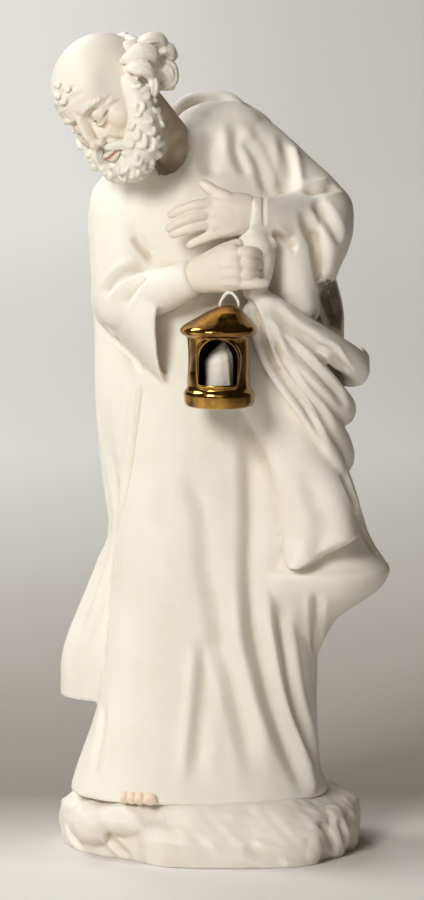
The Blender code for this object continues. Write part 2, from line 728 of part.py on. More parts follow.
# Each fold: the side it is drawn from, its depth and half width, then points across and up as that side sees them
FOLDS = [
    ("front", 2.2, 2.0, [(10.2, 130), (11, 119), (11.5, 108), (11.9, 96), (11.6, 83), (12.5, 68), (14.1, 59), (17.1, 46), (21.2, 34), (25.3, 23), (27.8, 15)]),
    ("front", -1.5, 2.4, [(14.5, 92), (15.6, 71), (17.1, 60), (19.0, 50), (22.4, 38), (28.0, 23), (30.0, 16)]),
    ("front", 1.9, 1.8, [(18.6, 76), (20.0, 66), (21.4, 58), (23.6, 46), (27.4, 34), (31.0, 22)]),
    ("front", 1.0, 2.6, [(1.4, 80), (3.0, 62), (6.0, 52), (9.1, 39), (13.1, 20)]),
    ("front", -0.9, 3.0, [(6.5, 84), (7.5, 64), (10.6, 50), (14.0, 38), (18.5, 22)]),
    ("front", 0.7, 2.4, [(-1.1, 66), (-2.3, 48), (-5.0, 20)]),
    ("front", -0.7, 2.0, [(-3.6, 62), (-4.8, 45), (-7.5, 20)]),
    ("front", 1.1, 3.4, [(-7.0, 114), (-1.8, 96), (-0.7, 83), (1.8, 66)]),
    ("front", 1.3, 1.2, [(-18.5, 135), (-20.1, 128), (-23.0, 107), (-25.8, 92), (-27.2, 80), (-28.6, 63), (-30.0, 46)]),
    ("front", 1.2, 1.8, [(-29.5, 44), (-31.0, 32), (-33.0, 20)]),
    ("front", 1.4, 4.0, [(24.4, 112), (29.8, 102), (32.0, 96), (31.0, 90), (26.9, 86)]),
    ("front", 2.2, 1.1, [(9.9, 160), (12.5, 154.7), (15.2, 147), (18.0, 140), (22.6, 133), (27.8, 126.5), (33, 116)]),
    ("front", 1.6, 1.3, [(16.2, 150), (19.5, 143), (24.5, 134), (30.1, 127.5), (35.2, 121)]),
    ("front", 1.6, 1.4, [(18.4, 152), (23.9, 144.5), (29.7, 138.5), (35.1, 132.6), (39, 127)]),
    ("front", 1.5, 1.4, [(30.0, 146), (33.9, 143.5), (36.0, 140), (39.5, 136)]),
    ("front", 1.1, 1.6, [(16.2, 158), (22.2, 151), (28.3, 146.5), (33.4, 142)]),
    ("front", 1.5, 1.8, [(-23.5, 175.6), (-20.3, 174), (-16.6, 169.6), (-12.0, 167)]),
    ("front", 1.3, 1.5, [(-29.2, 158.5), (-27.1, 162), (-23.0, 165.3), (-16.6, 167)]),
    ("front", 1.1, 1.4, [(-24.3, 156), (-20.2, 161.7), (-16.6, 165.4)]),
    ("front", 0.9, 2.4, [(1.0, 205), (-0.2, 196.5), (0.9, 191)]),
    ("front", 1.0, 2.2, [(7.1, 207), (8.0, 198), (10.8, 191)]),
    ("front", 1.8, 1.5, [(10.0, 203), (11.6, 199), (13.8, 194.6), (15.6, 189), (16.4, 186)]),
    ("front", 1.6, 1.6, [(20.0, 203.5), (21.4, 198.5), (21.9, 194.3), (21.3, 190), (18.8, 186.6)]),
    ("front", -1.0, 1.5, [(23.0, 200), (24.3, 194), (25.6, 188)]),
    ("front", 2.2, 1.5, [(26.2, 186.8), (29.3, 187.6), (32.6, 188), (35.6, 188.4)]),
    ("front", 1.5, 1.8, [(28.4, 184.6), (32.5, 180), (37.4, 172.6)]),
    ("front", 1.8, 1.6, [(25.0, 184), (28.6, 174), (30.9, 164.4), (31.2, 158)]),
    ("front", 1.2, 1.2, [(16.7, 177.2), (20.9, 174.2), (24.5, 171.6)]),
    ("front", 1.4, 1.6, [(29.4, 77), (29.8, 68), (30.0, 57), (30.2, 42)]),
    ("front", 1.2, 1.4, [(36.6, 110), (39.8, 101), (43.6, 91), (47.0, 84)]),
    ("front", 1.2, 1.4, [(-30.0, 152), (-24.8, 145), (-20.6, 141), (-17.8, 136)]),
    ("front", 1.5, 0.9, [(30.6, 12), (33.4, 7.0), (35.6, 2.0)]),
    ("front", 1.5, 0.9, [(36.0, 11.5), (38.4, 6.0), (38.2, 1.0)]),
    ("back", 2.0, 4.0, [(-14, 198), (-20, 170), (-22, 130), (-24, 90), (-28, 45)]),
    ("back", 1.8, 4.0, [(-2, 200), (-6, 165), (-6, 120), (-8, 80), (-10, 45)]),
    ("back", 2.0, 4.0, [(12, 196), (10, 160), (12, 120), (9, 80), (8, 45)]),
    ("back", 1.8, 3.6, [(24, 184), (24, 150), (26, 118), (24, 85), (20, 48)]),
    ("back", 1.6, 3.0, [(34, 150), (33, 130), (34, 110), (38, 90)]),
    ("left", 1.8, 3.2, [(2, 176), (4, 140), (2, 100), (2, 70), (0, 46)]),
    ("left", 1.6, 3.2, [(12, 180), (14, 140), (14, 95), (16, 60), (17, 46)]),
    ("right", 1.8, 3.0, [(4, 128), (6, 110), (2, 96), (-4, 88)]),
    ("right", 1.4, 2.6, [(14, 160), (15, 130), (12, 100), (10, 84)]),
]


def new_object(name, mesh, colour, roughness, metallic):
    """A named object in the statue's collection with its own material."""
    thing = bpy.data.objects.new(name, mesh)
    STATUE.objects.link(thing)
    finish = bpy.data.materials.new(name)
    finish.use_nodes = True
    shader = finish.node_tree.nodes["Principled BSDF"]
    shader.inputs["Base Color"].default_value = (*colour, 1)
    shader.inputs["Roughness"].default_value = roughness
    shader.inputs["Metallic"].default_value = metallic
    thing.data.materials.clear()
    thing.data.materials.append(finish)
    return thing


def cutter(name, mesh):
    """A hidden object for a Boolean."""
    thing = bpy.data.objects.new(name, mesh)
    CUTTERS.objects.link(thing)
    thing.hide_render = True
    thing.display_type = "WIRE"
    return thing


def combine(target, operation, other, solver="EXACT"):
    """A Boolean modifier on the target."""
    step = target.modifiers.new(other.name, "BOOLEAN")
    step.operation = operation
    step.solver = solver
    step.object = other


def profile_mesh(name, points):
    """A mesh of edges through (radius, height) points, from the top on the axis down the outer side."""
    line = bmesh.new()
    marks = [line.verts.new((radius, 0, height)) for radius, height in points]
    for pair in zip(marks, marks[1:]):
        line.edges.new(pair)
    mesh = bpy.data.meshes.new(name)
    line.to_mesh(mesh)
    line.free()
    return mesh


def turn(thing, steps=32):
    """A Screw modifier that turns the profile once about Z."""
    screw = thing.modifiers.new("turn", "SCREW")
    screw.steps = screw.render_steps = steps
    screw.use_merge_vertices = True
    screw.merge_threshold = 1e-6
    screw.use_smooth_shade = True


def arch(name, width, height, length, arcs=12):
    """A prism along Y with an upright arched outline: straight sides and a round top. Its sill is at z = 0."""
    half = width / 2
    spring = height - half
    outline = [(-half, 0), (half, 0)]
    for step in range(arcs + 1):
        angle = math.pi * step / arcs
        outline.append((half * math.cos(angle), spring + half * math.sin(angle)))
    body = bmesh.new()
    face = body.faces.new([body.verts.new((x, -length / 2, z)) for x, z in outline])
    pushed = bmesh.ops.extrude_face_region(body, geom=[face])
    moved = [item for item in pushed["geom"] if isinstance(item, bmesh.types.BMVert)]
    bmesh.ops.translate(body, verts=moved, vec=(0, length, 0))
    bmesh.ops.recalc_face_normals(body, faces=body.faces)
    mesh = bpy.data.meshes.new(name)
    body.to_mesh(mesh)
    body.free()
    return mesh


def lantern_outline(grow=0.0):
    """The lantern's turned outer profile from its top down, grown outwards by `grow`."""
    eave, body, foot = LANTERN_EAVE_WIDTH / 2 + grow, LANTERN_BODY_WIDTH / 2 + grow, LANTERN_FOOT_WIDTH / 2 + grow
    under = LANTERN_HEIGHT - LANTERN_ROOF_HEIGHT
    top = LANTERN_HEIGHT + grow
    return [
        (0, top),
        (eave - 0.0080, top - 0.0004),
        (eave - 0.0057, top - 0.0017),
        (eave - 0.0034, top - 0.0035),
        (eave - 0.0012, top - 0.0050),
        (eave, top - 0.0066),
        (eave - 0.0003, under + 0.0006),
        (eave - 0.0012, under),
        (body, under - 0.0010),
        (body, LANTERN_FOOT_HEIGHT + 0.0008),
        (foot - 0.0004, LANTERN_FOOT_HEIGHT),
        (foot, LANTERN_FOOT_HEIGHT - 0.0010),
        (foot, 0.0010 - grow),
        (foot - 0.0010, -grow),
        (0, -grow),
    ]


def hang(thing, height=0.0, ahead=0.0):
    """Parents a piece of the lantern to its hanger, raised and brought forward."""
    thing.parent = HANGER
    thing.location = (0, -ahead, height)


def lantern():
    """The gilt lantern: a hollow turned shell with one arched window in a raised frame at its front."""
    shell = new_object("lantern", profile_mesh("lantern", lantern_outline()), (0.42, 0.27, 0.07), 0.22, 1.0)
    turn(shell)
    hang(shell)
    sill = LANTERN_FOOT_HEIGHT + 0.0024
    reach, shoulder = LANTERN_BODY_WIDTH / 2 + WINDOW_RELIEF, LANTERN_HEIGHT - LANTERN_ROOF_HEIGHT
    inner, room = LANTERN_BODY_WIDTH / 2 - LANTERN_WALL, shoulder + 0.0005
    outlines = {
        "frame_reach": [(0, shoulder), (reach, shoulder), (reach, 0), (0, 0)],
        "cavity": [(0, room + 0.0025), (inner - 0.003, room + 0.0015), (inner, room), (inner, LANTERN_FLOOR), (0, LANTERN_FLOOR)],
    }
    helpers = {}
    for name, outline in outlines.items():
        helpers[name] = cutter(name, profile_mesh(name, outline))
        turn(helpers[name])
        hang(helpers[name])
    deep = LANTERN_FOOT_WIDTH / 2
    frame = cutter("frame", arch("frame", WINDOW_WIDTH + 2 * WINDOW_FRAME, WINDOW_HEIGHT + 2 * WINDOW_FRAME, deep))
    hang(frame, sill - WINDOW_FRAME, deep * 0.75)
    combine(frame, "INTERSECT", helpers["frame_reach"])
    combine(shell, "UNION", frame)
    combine(shell, "DIFFERENCE", helpers["cavity"])
    window = cutter("window", arch("window", WINDOW_WIDTH, WINDOW_HEIGHT, deep))
    hang(window, sill, deep * 0.75)
    combine(shell, "DIFFERENCE", window)
    return shell


def candle():
    """The candle with its pointed flame, standing a clearance above the lantern's floor."""
    half, low = CANDLE_WIDTH / 2, LANTERN_FLOOR + CLEARANCE
    top = low + CANDLE_HEIGHT
    outline = [
        (0, top + FLAME_HEIGHT),
        (half * 0.18, top + FLAME_HEIGHT * 0.9),
        (half * 0.5, top + FLAME_HEIGHT * 0.56),
        (half * 0.8, top + FLAME_HEIGHT * 0.2),
        (half * 0.95, top - 0.0003),
        (half, top - 0.0014),
        (half, low),
        (0, low),
    ]
    wax = new_object("candle", profile_mesh("candle", outline), (0.78, 0.74, 0.64), 0.5, 0.0)
    turn(wax, 20)
    hang(wax)
    return wax


def slab(name, low, high):
    """A box between two corners."""
    body = bmesh.new()
    bmesh.ops.create_cube(body, size=1)
    middle = [(a + b) / 2 for a, b in zip(low, high)]
    spans = [b - a for a, b in zip(low, high)]
    bmesh.ops.transform(body, matrix=Matrix.Translation(middle) @ Matrix.Diagonal((*spans, 1)), verts=body.verts)
    mesh = bpy.data.meshes.new(name)
    body.to_mesh(mesh)
    body.free()
    return mesh


def porcelain():
    """The casting: figure and rock in one skin at its real size, flat below."""
    mesh = fused([*porcelain_forms(), rock(), *boulders()], hollows(), PORCELAIN_VOXEL, 3)
    carve(mesh, FOLDS)
    size = Matrix.Translation((0, 0, ROCK_HEIGHT)) @ Matrix.Scale(FIGURE_SCALE, 4)
    mesh.transform(size @ Matrix.Translation((0, 0, -DESIGN_GROUND)))
    mesh.shade_smooth()
    figure = new_object("figure", mesh, (0.80, 0.76, 0.66), 0.55, 0.0)
    smooth = figure.modifiers.new("soften", "SMOOTH")
    smooth.factor = 0.5
    smooth.iterations = 2
    thin = figure.modifiers.new("thin", "DECIMATE")
    thin.ratio = min(1.0, PORCELAIN_TRIANGLES / max(1, 2 * len(mesh.polygons)))
    ground = slab("ground", (-0.1, -0.1, -0.02), (0.1, 0.1, 0.0))
    combine(figure, "DIFFERENCE", cutter("ground", ground))
    return figure


for leftover in list(bpy.data.objects):
    bpy.data.objects.remove(leftover)
STATUE = bpy.data.collections.new("saint_joseph_statue")
CUTTERS = bpy.data.collections.new("cutters")
for group in (STATUE, CUTTERS):
    bpy.context.scene.collection.children.link(group)

HANGER = bpy.data.objects.new("lantern_hanger", None)
STATUE.objects.link(HANGER)
HANGER.location = LANTERN_PLACE
HANGER.rotation_euler = (0, 0, math.radians(LANTERN_TURN))

LANTERN = lantern()
CANDLE = candle()
FIGURE = porcelain()
POCKET = cutter("pocket", profile_mesh("pocket", lantern_outline(CLEARANCE)))
turn(POCKET)
hang(POCKET)
combine(FIGURE, "DIFFERENCE", POCKET)
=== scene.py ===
"""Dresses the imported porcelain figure: finer modelling and finishes, studio and camera.

Forms are given in millimetres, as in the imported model: front is -Y, up is +Z,
and the origin is the middle of the flat underside. Each piece becomes an object
at the origin, in metres, with its place in its mesh.
"""

from __future__ import annotations

import logging
import math
from dataclasses import dataclass, field
from enum import Enum
from typing import Callable, Iterable, Sequence

import bmesh
import bpy
import numpy as np
from mathutils import Matrix, Vector
from mathutils.bvhtree import BVHTree

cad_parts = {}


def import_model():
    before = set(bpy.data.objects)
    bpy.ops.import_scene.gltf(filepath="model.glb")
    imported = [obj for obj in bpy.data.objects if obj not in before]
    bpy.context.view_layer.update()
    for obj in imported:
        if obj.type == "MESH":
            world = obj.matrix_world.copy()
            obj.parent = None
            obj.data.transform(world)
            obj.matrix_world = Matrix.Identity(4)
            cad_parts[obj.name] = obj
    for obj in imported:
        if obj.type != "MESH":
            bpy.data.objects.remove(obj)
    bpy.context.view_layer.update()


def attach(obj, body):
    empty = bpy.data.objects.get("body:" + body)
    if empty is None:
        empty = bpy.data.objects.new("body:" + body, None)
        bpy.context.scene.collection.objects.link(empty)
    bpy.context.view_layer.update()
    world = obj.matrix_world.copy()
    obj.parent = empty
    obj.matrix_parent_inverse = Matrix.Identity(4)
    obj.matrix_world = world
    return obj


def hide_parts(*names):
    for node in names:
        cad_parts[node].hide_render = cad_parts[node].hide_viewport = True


LOG = logging.getLogger("statue")
MM = 0.001
CURVE_STEPS = 400  # steps in which a table's curve is read
WELD = 1e-4  # points closer than this are one
OUTSIDE = 300.0  # a distance well outside the figure, for the starts of rays
SHEET_GAP = 25.0  # a dropped line's points farther than this from its middle hit another sheet
TAPER = 0.22  # the share of a groove's length over which each end runs out
WAVES = 14  # waves that are summed for a skin's unevenness
HOLLOW_SHADE_GAIN = 1.6  # how strongly a hollow's depth counts in its painted shade
CHEST = (0, 0, 0.12)  # the point that the figure's lights look at, in metres

Row = Sequence[float]
Table = Sequence[Row]
Body = bmesh.types.BMesh
Socket = bpy.types.NodeSocket
Thing = bpy.types.Object
Material = bpy.types.Material
Place = Callable[[np.ndarray, np.ndarray], np.ndarray]


class Side(Enum):
    """The side from which a fold is drawn onto a skin."""

    FRONT = "front"
    BACK = "back"
    LEFT = "left"
    RIGHT = "right"

    @property
    def way(self) -> np.ndarray:
        """The direction of the rays that drop a line from this side onto a skin."""
        ways = {"front": (0, 1, 0), "back": (0, -1, 0), "left": (1, 0, 0), "right": (-1, 0, 0)}
        return np.array(ways[self.value], float)

    def start(self, across: np.ndarray, up: np.ndarray) -> np.ndarray:
        """Places drawn points well outside the figure on this side.

        Args:
            across: the points' x seen from front or back, or y seen from left or right.
            up: the points' heights.

        Returns:
            One start point for each ray.
        """
        far = np.full(len(across), OUTSIDE)
        spots = {
            "front": (across, -far, up), "back": (across, far, up), "left": (-far, across, up),
            "right": (far, across, up),
        }[self.value]
        return np.stack(spots, axis=1)


class Tone(Enum):
    """The painted tones that a skin's colour attribute carries, by channel, painted shade among them."""

    FLESH = 0
    # dark painted lines, also painted shade behind the left sleeve and inside the lantern
    LINE_AND_SHADE = 1
    # lip colour, also painted shade on the lantern's right side
    ROSE_AND_SIDE_SHADE = 2
    # painted shade in the hollows; low values give a painted highlight on the ridges
    HOLLOW_SHADE = 3


def spline(table: Table, count: int) -> np.ndarray:
    """Reads a table of rows at even steps along a smooth curve through them.

    Args:
        table: the rows that the curve passes through.
        count: how many rows to read.

    Returns:
        The rows read, one per step.
    """
    rows = np.array(table, float)
    last = len(rows) - 1
    at = np.linspace(0, last, count)
    low = np.minimum(at.astype(int), last - 1)
    share = (at - low)[:, None]
    slopes = np.gradient(rows, axis=0) if last > 1 else np.diff(rows, axis=0).repeat(2, axis=0)
    square, cube = share**2, share**3
    return (
        (2 * cube - 3 * square + 1) * rows[low]
        + (cube - 2 * square + share) * slopes[low]
        + (3 * square - 2 * cube) * rows[low + 1]
        + (cube - square) * slopes[low + 1]
    )


def read(table: Table, where: np.ndarray) -> np.ndarray:
    """Reads a table's smooth curve at shares from 0 to 1.

    Args:
        table: the rows that the curve passes through.
        where: the shares of the way along it.

    Returns:
        One row for each share.
    """
    dense = spline(table, CURVE_STEPS + 1)
    at = np.clip(where, 0, 1) * CURVE_STEPS
    low = np.minimum(at.astype(int), CURVE_STEPS - 1)
    share = (at - low)[:, None]
    return dense[low] * (1 - share) + dense[low + 1] * share


def unit(vectors: np.ndarray) -> np.ndarray:
    """The vectors at length one."""
    length = np.linalg.norm(vectors, axis=-1, keepdims=True)
    return vectors / np.maximum(length, 1e-9)


def rolled(around: int, along: int, place: Place) -> Body:
    """Rolls a grid up into a closed body.

    Args:
        around: grid steps round the body.
        along: grid steps along it.
        place: gives each point from its shares round and along.

    Returns:
        The body, with its ends closed.
    """
    grid = bmesh.new()
    bmesh.ops.create_grid(grid, x_segments=around, y_segments=along, size=0.5)
    mesh = bpy.data.meshes.new("rolled")
    grid.to_mesh(mesh)
    grid.free()
    flat = np.empty(len(mesh.vertices) * 3, np.float32)
    mesh.vertices.foreach_get("co", flat)
    flat = flat.reshape(-1, 3).astype(float)
    moved = place(flat[:, 0] + 0.5, flat[:, 1] + 0.5)
    mesh.vertices.foreach_set("co", moved.astype(np.float32).ravel())
    body = bmesh.new()
    body.from_mesh(mesh)
    bpy.data.meshes.remove(mesh)
    bmesh.ops.remove_doubles(body, verts=body.verts, dist=WELD)
    bmesh.ops.holes_fill(body, edges=[e for e in body.edges if e.is_boundary], sides=0)
    bmesh.ops.recalc_face_normals(body, faces=body.faces)
    return body


def stack(sections: Table, around: int = 120, along: int = 90, power: float = 2.3) -> Body:
    """A body from level sections, each a rounded rectangle.

    Args:
        sections: rows of z, left, right, front, back.
        around: steps round a section.
        along: steps up the body.
        power: 2 for ellipses, more for squarer sections.

    Returns:
        The closed body.
    """

    def place(u: np.ndarray, v: np.ndarray) -> np.ndarray:
        """Points of the section's outline at each height."""
        z, left, right, front, back = read(sections, v).T
        turn = 2 * math.pi * u
        wide = np.sign(np.cos(turn)) * np.abs(np.cos(turn)) ** (2 / power)
        deep = np.sign(np.sin(turn)) * np.abs(np.sin(turn)) ** (2 / power)
        x = (left + right) / 2 + (right - left) / 2 * wide
        y = (front + back) / 2 + (back - front) / 2 * deep
        return np.stack([x, y, z], axis=1)

    return rolled(around, along, place)


def limb(
    path: Table, facing: Row = (0, -1, 0), around: int = 28, along: int = 44, tip: float = 0.12,
) -> Body:
    """A rounded body along a path.

    Args:
        path: rows of x, y, z, half width, half thickness.
        facing: the direction that the thickness lies along.
        around: steps round the body.
        along: steps along it.
        tip: the share of the length that each rounded end takes.

    Returns:
        The closed body.
    """

    def place(u: np.ndarray, v: np.ndarray) -> np.ndarray:
        """Points round the path."""
        rows = read(path, v)
        centre, wide, thick = rows[:, :3], rows[:, 3:4], rows[:, 4:5]
        tangent = unit(read(path, v + 0.01)[:, :3] - read(path, v - 0.01)[:, :3])
        side = unit(np.cross(tangent, np.array(facing, float)))
        normal = np.cross(side, tangent)
        end = np.minimum(v, 1 - v) / tip
        shrink = np.sqrt(np.clip(1 - (1 - np.clip(end, 0, 1)) ** 2, 0, 1))[:, None]
        turn = (2 * math.pi * u)[:, None]
        return centre + shrink * (side * wide * np.cos(turn) + normal * thick * np.sin(turn))

    return rolled(around, along, place)


def ball(centre: Row, radii: Row, turn: Row = (0, 0, 0), detail: int = 4) -> Body:
    """An ellipsoid.

    Args:
        centre: its middle.
        radii: its three half axes.
        turn: degrees about X, Y and Z.
        detail: subdivisions of the icosphere.

    Returns:
        The closed body.
    """
    body = bmesh.new()
    bmesh.ops.create_icosphere(body, subdivisions=detail, radius=1)
    spin = Matrix.Rotation(math.radians(turn[2]), 4, "Z")
    spin = spin @ Matrix.Rotation(math.radians(turn[1]), 4, "Y")
    spin = spin @ Matrix.Rotation(math.radians(turn[0]), 4, "X")
    place = Matrix.Translation(centre) @ spin @ Matrix.Diagonal((*radii, 1))
    bmesh.ops.transform(body, matrix=place, verts=body.verts)
    return body


def turned(profile: Table, steps: int = 96) -> Body:
    """Turns a profile about the upright axis.

    Args:
        profile: radius and height pairs, from the axis round the outside back to the axis.
        steps: steps of the turn.

    Returns:
        The closed body.
    """
    body = bmesh.new()
    marks = [body.verts.new((radius, 0, height)) for radius, height in profile]
    edges = [body.edges.new(pair) for pair in zip(marks, marks[1:])]
    bmesh.ops.spin(
        body, geom=marks + edges, cent=(0, 0, 0), axis=(0, 0, 1), angle=2 * math.pi, steps=steps,
        use_merge=True, use_duplicate=False,
    )
    bmesh.ops.remove_doubles(body, verts=body.verts, dist=WELD)
    bmesh.ops.recalc_face_normals(body, faces=body.faces)
    return body


def linked(name: str, data: bpy.types.ID) -> Thing:
    """A new object of the scene that holds a mesh, a light or a camera."""
    thing = bpy.data.objects.new(name, data)
    bpy.context.scene.collection.objects.link(thing)
    return thing


def holder(name: str, bodies: Iterable[Body]) -> Thing:
    """A scratch object that holds the bodies in one mesh."""
    joined = bmesh.new()
    for body in bodies:
        part = bpy.data.meshes.new("part")
        body.to_mesh(part)
        body.free()
        joined.from_mesh(part)
        bpy.data.meshes.remove(part)
    mesh = bpy.data.meshes.new(name)
    joined.to_mesh(mesh)
    joined.free()
    thing = linked(name, mesh)
    return thing


def reskin(thing: Thing, voxel: float) -> None:
    """Adds a voxel Remesh modifier, which fuses overlapping bodies into one closed skin."""
    remesh = thing.modifiers.new("skin", "REMESH")
    remesh.mode = "VOXEL"
    remesh.voxel_size = voxel


def fused(
    bodies: Iterable[Body], voxel: float, smoothing: int = 2, spaces: Iterable[Body] = (),
) -> bpy.types.Mesh:
    """Fuses overlapping bodies into one closed skin.

    Args:
        bodies: the bodies, which may overlap.
        voxel: the size of the skin's cells.
        smoothing: passes that soften the skin.
        spaces: bodies that are cut out of the others.

    Returns:
        The skin's mesh.
    """
    solid = holder("solid", bodies)
    reskin(solid, voxel)
    spaces = list(spaces)
    space = None
    if spaces:
        space = holder("space", spaces)
        reskin(space, voxel)
        cut = solid.modifiers.new("cut", "BOOLEAN")
        cut.operation = "DIFFERENCE"
        cut.solver = "MANIFOLD"
        cut.object = space
        reskin(solid, voxel)
    if smoothing:
        smooth = solid.modifiers.new("soften", "SMOOTH")
        smooth.factor = 0.5
        smooth.iterations = smoothing
    made = baked(solid)
    bpy.data.objects.remove(solid)
    if space:
        bpy.data.objects.remove(space)
    return made


def baked(thing: Thing) -> bpy.types.Mesh:
    """The mesh of an object with its modifiers applied."""
    graph = bpy.context.evaluated_depsgraph_get()
    return bpy.data.meshes.new_from_object(thing.evaluated_get(graph))


def thinned(mesh: bpy.types.Mesh, triangles: int) -> bpy.types.Mesh:
    """A mesh collapsed to about a number of triangles, where it has more."""
    count = sum(len(face.vertices) - 2 for face in mesh.polygons)
    if count <= triangles:
        return mesh
    thing = linked("thin", mesh)
    thin = thing.modifiers.new("thin", "DECIMATE")
    thin.ratio = triangles / count
    made = baked(thing)
    bpy.data.objects.remove(thing)
    return made


@dataclass(frozen=True)
class Fold:
    """One line pressed into a skin, or raised from it where its depth is below zero."""

    depth: float
    width: float
    line: Table
    side: Side = Side.FRONT
    far: float = 0.0
    lip: float = 0.0


class Clay:
    """A skin held as arrays while it is modelled and painted."""

    def __init__(self, mesh: bpy.types.Mesh) -> None:
        """Takes a mesh in millimetres."""
        self.mesh = mesh
        flat = np.empty(len(mesh.vertices) * 3, np.float32)
        mesh.vertices.foreach_get("co", flat)
        self.points = flat.reshape(-1, 3).astype(float)
        self.tones = np.zeros((len(self.points), 4))
        self.refresh()

    def refresh(self) -> None:
        """Writes the points to the mesh and reads its normals and a tree of its faces."""
        self.mesh.vertices.foreach_set("co", self.points.astype(np.float32).ravel())
        self.mesh.update()
        flat = np.empty(len(self.points) * 3, np.float32)
        self.mesh.vertex_normals.foreach_get("vector", flat)
        self.normals = flat.reshape(-1, 3).astype(float)
        self.tree = BVHTree.FromPolygons(
            [Vector(p) for p in self.points], [tuple(f.vertices) for f in self.mesh.polygons],
        )

    def dropped(self, line: Table, side: Side, step: float) -> np.ndarray:
        """Drops a drawn line onto the skin from one side.

        Args:
            line: points across and up.
            side: the side that the line is drawn from.
            step: the distance between the points wanted.

        Returns:
            Points on the skin, smoothed along the line.
        """
        length = sum(math.dist(a, b) for a, b in zip(line, line[1:]))
        across, up = spline(line, max(8, int(length / step))).T
        starts = side.start(across, up)
        hits = [self.tree.ray_cast(Vector(start), Vector(side.way))[0] for start in starts]
        track = np.array([hit for hit in hits if hit is not None])
        if len(track) < 4:
            return np.zeros((0, 3))
        reach = track @ side.way
        track = track[np.abs(reach - np.median(reach)) < SHEET_GAP]
        for _ in range(2):
            track[1:-1] = (track[:-2] + 2 * track[1:-1] + track[2:]) / 4
        return track

    def close(
        self, track: np.ndarray, reach: float, way: np.ndarray | None = None,
    ) -> tuple[np.ndarray, np.ndarray, np.ndarray]:
        """Finds the skin's points near a track.

        Args:
            track: points along a line.
            reach: how far from it to look.
            way: where given, only points that face against this direction count.

        Returns:
            The points' numbers, their distance to the track, and the number of the closest track point.
        """
        low, high = track.min(axis=0) - reach, track.max(axis=0) + reach
        inside = ((self.points > low) & (self.points < high)).all(axis=1)
        if way is not None:
            inside &= self.normals @ way < 0.2
        near = np.flatnonzero(inside)
        middle = track.mean(axis=0)
        here, there = self.points[near] - middle, track - middle
        square = (here**2).sum(axis=1)[:, None] + (there**2).sum(axis=1)[None] - 2 * here @ there.T
        closest = square.argmin(axis=1)
        gap = np.sqrt(np.maximum(square[np.arange(len(near)), closest], 0))
        keep = gap < reach
        return near[keep], gap[keep], closest[keep]

    def press(
        self, track: np.ndarray, depth: float, left: float, right: float, lip: float = 0.0,
        way: np.ndarray | None = None,
    ) -> None:
        """Presses a groove along a track, or raises a ridge where the depth is below zero.

        Args:
            track: points along the line, on the skin.
            depth: how deep it is at its middle.
            left: its half width on the left of the line as it runs, seen from outside.
            right: its half width on the right.
            lip: the height of the raised edges beside it, as a share of the depth.
            way: where given, only points that face against this direction move.
        """
        if len(track) < 4:
            return
        near, gap, closest = self.close(track, 3.2 * max(left, right), way)
        if not len(near):
            return
        ahead = np.gradient(track, axis=0)[closest]
        off = self.points[near] - track[closest]
        along = np.clip(np.einsum("ij,ij->i", off, ahead) / np.maximum((ahead**2).sum(axis=1), 1e-9), -1, 1)
        inner = np.clip(closest + along, 0, len(track) - 1) - closest
        gap = np.linalg.norm(off - ahead * inner[:, None], axis=1)
        on_left = np.einsum("ij,ij->i", np.cross(self.normals[near], ahead), off) > 0
        width = np.where(on_left, left, right)
        share = (closest + inner) / (len(track) - 1)
        taper = np.clip(np.minimum(share, 1 - share) / TAPER, 0, 1)
        taper = taper * taper * (3 - 2 * taper)
        shape = np.exp(-((gap / width) ** 2))
        if lip:
            shape -= lip * np.exp(-(((gap - 1.9 * width) / (0.7 * width)) ** 2))
        self.points[near] -= self.normals[near] * (depth * taper * shape)[:, None]

    def fold(self, folds: Iterable[Fold]) -> None:
        """Presses every fold of a list into the skin."""
        for fold in folds:
            step = 0.4 * min(fold.width, fold.far or fold.width)
            track = self.dropped(fold.line, fold.side, max(0.25, step))
            self.press(track, fold.depth, fold.width, fold.far or fold.width, fold.lip, fold.side.way)

    def dab(self, centre: Row, radius: float, depth: float) -> None:
        """Presses a round dent at a point, or raises a swelling where the depth is below zero."""
        gap = np.linalg.norm(self.points - np.array(centre, float), axis=1)
        near = np.flatnonzero(gap < 3 * radius)
        self.points[near] -= self.normals[near] * (depth * np.exp(-((gap[near] / radius) ** 2)))[:, None]

    def grain(self, amount: float, scale: float, seed: int) -> None:
        """Shifts the skin in and out by soft waves, so that no surface is machine-perfect."""
        rng = np.random.default_rng(seed)
        shift = np.zeros(len(self.points))
        for _ in range(WAVES):
            wave = rng.normal(size=3) / scale
            shift += np.sin(self.points @ wave * 2 * math.pi + rng.uniform(0, 2 * math.pi))
        self.points += self.normals * (amount * shift / WAVES**0.5)[:, None]

    def paint(self, tone: Tone, track: np.ndarray, width: float, amount: float = 1.0) -> None:
        """Paints a tone along a track with a soft edge."""
        if len(track) < 1:
            return
        near, gap, _ = self.close(track, 3 * width)
        coat = amount * np.exp(-((gap / width) ** 4))
        self.tones[near, tone.value] = np.maximum(self.tones[near, tone.value], coat)

    def blush(self, tone: Tone, centre: Row, radius: float, amount: float) -> None:
        """Paints a soft round patch of a tone."""
        gap = np.linalg.norm(self.points - np.array(centre, float), axis=1)
        coat = amount * np.exp(-((gap / radius) ** 2))
        self.tones[:, tone.value] = np.maximum(self.tones[:, tone.value], coat)

    def hollow_shade_tones(self, gain: float) -> None:
        """Writes how hollow the skin is at each point into its own tone, which the finishes turn into
        painted shade in the hollows.

        Args:
            gain: how strongly a hollow counts.
        """
        ends = np.empty(len(self.mesh.edges) * 2, np.int32)
        self.mesh.edges.foreach_get("vertices", ends)
        first, second = ends.reshape(-1, 2).T
        count = len(self.points)
        degree = np.maximum(np.bincount(first, minlength=count) + np.bincount(second, minlength=count), 1)

        def around(values: np.ndarray) -> np.ndarray:
            """The mean of the neighbours' values."""
            total = np.bincount(first, values[second], count) + np.bincount(second, values[first], count)
            return total / degree

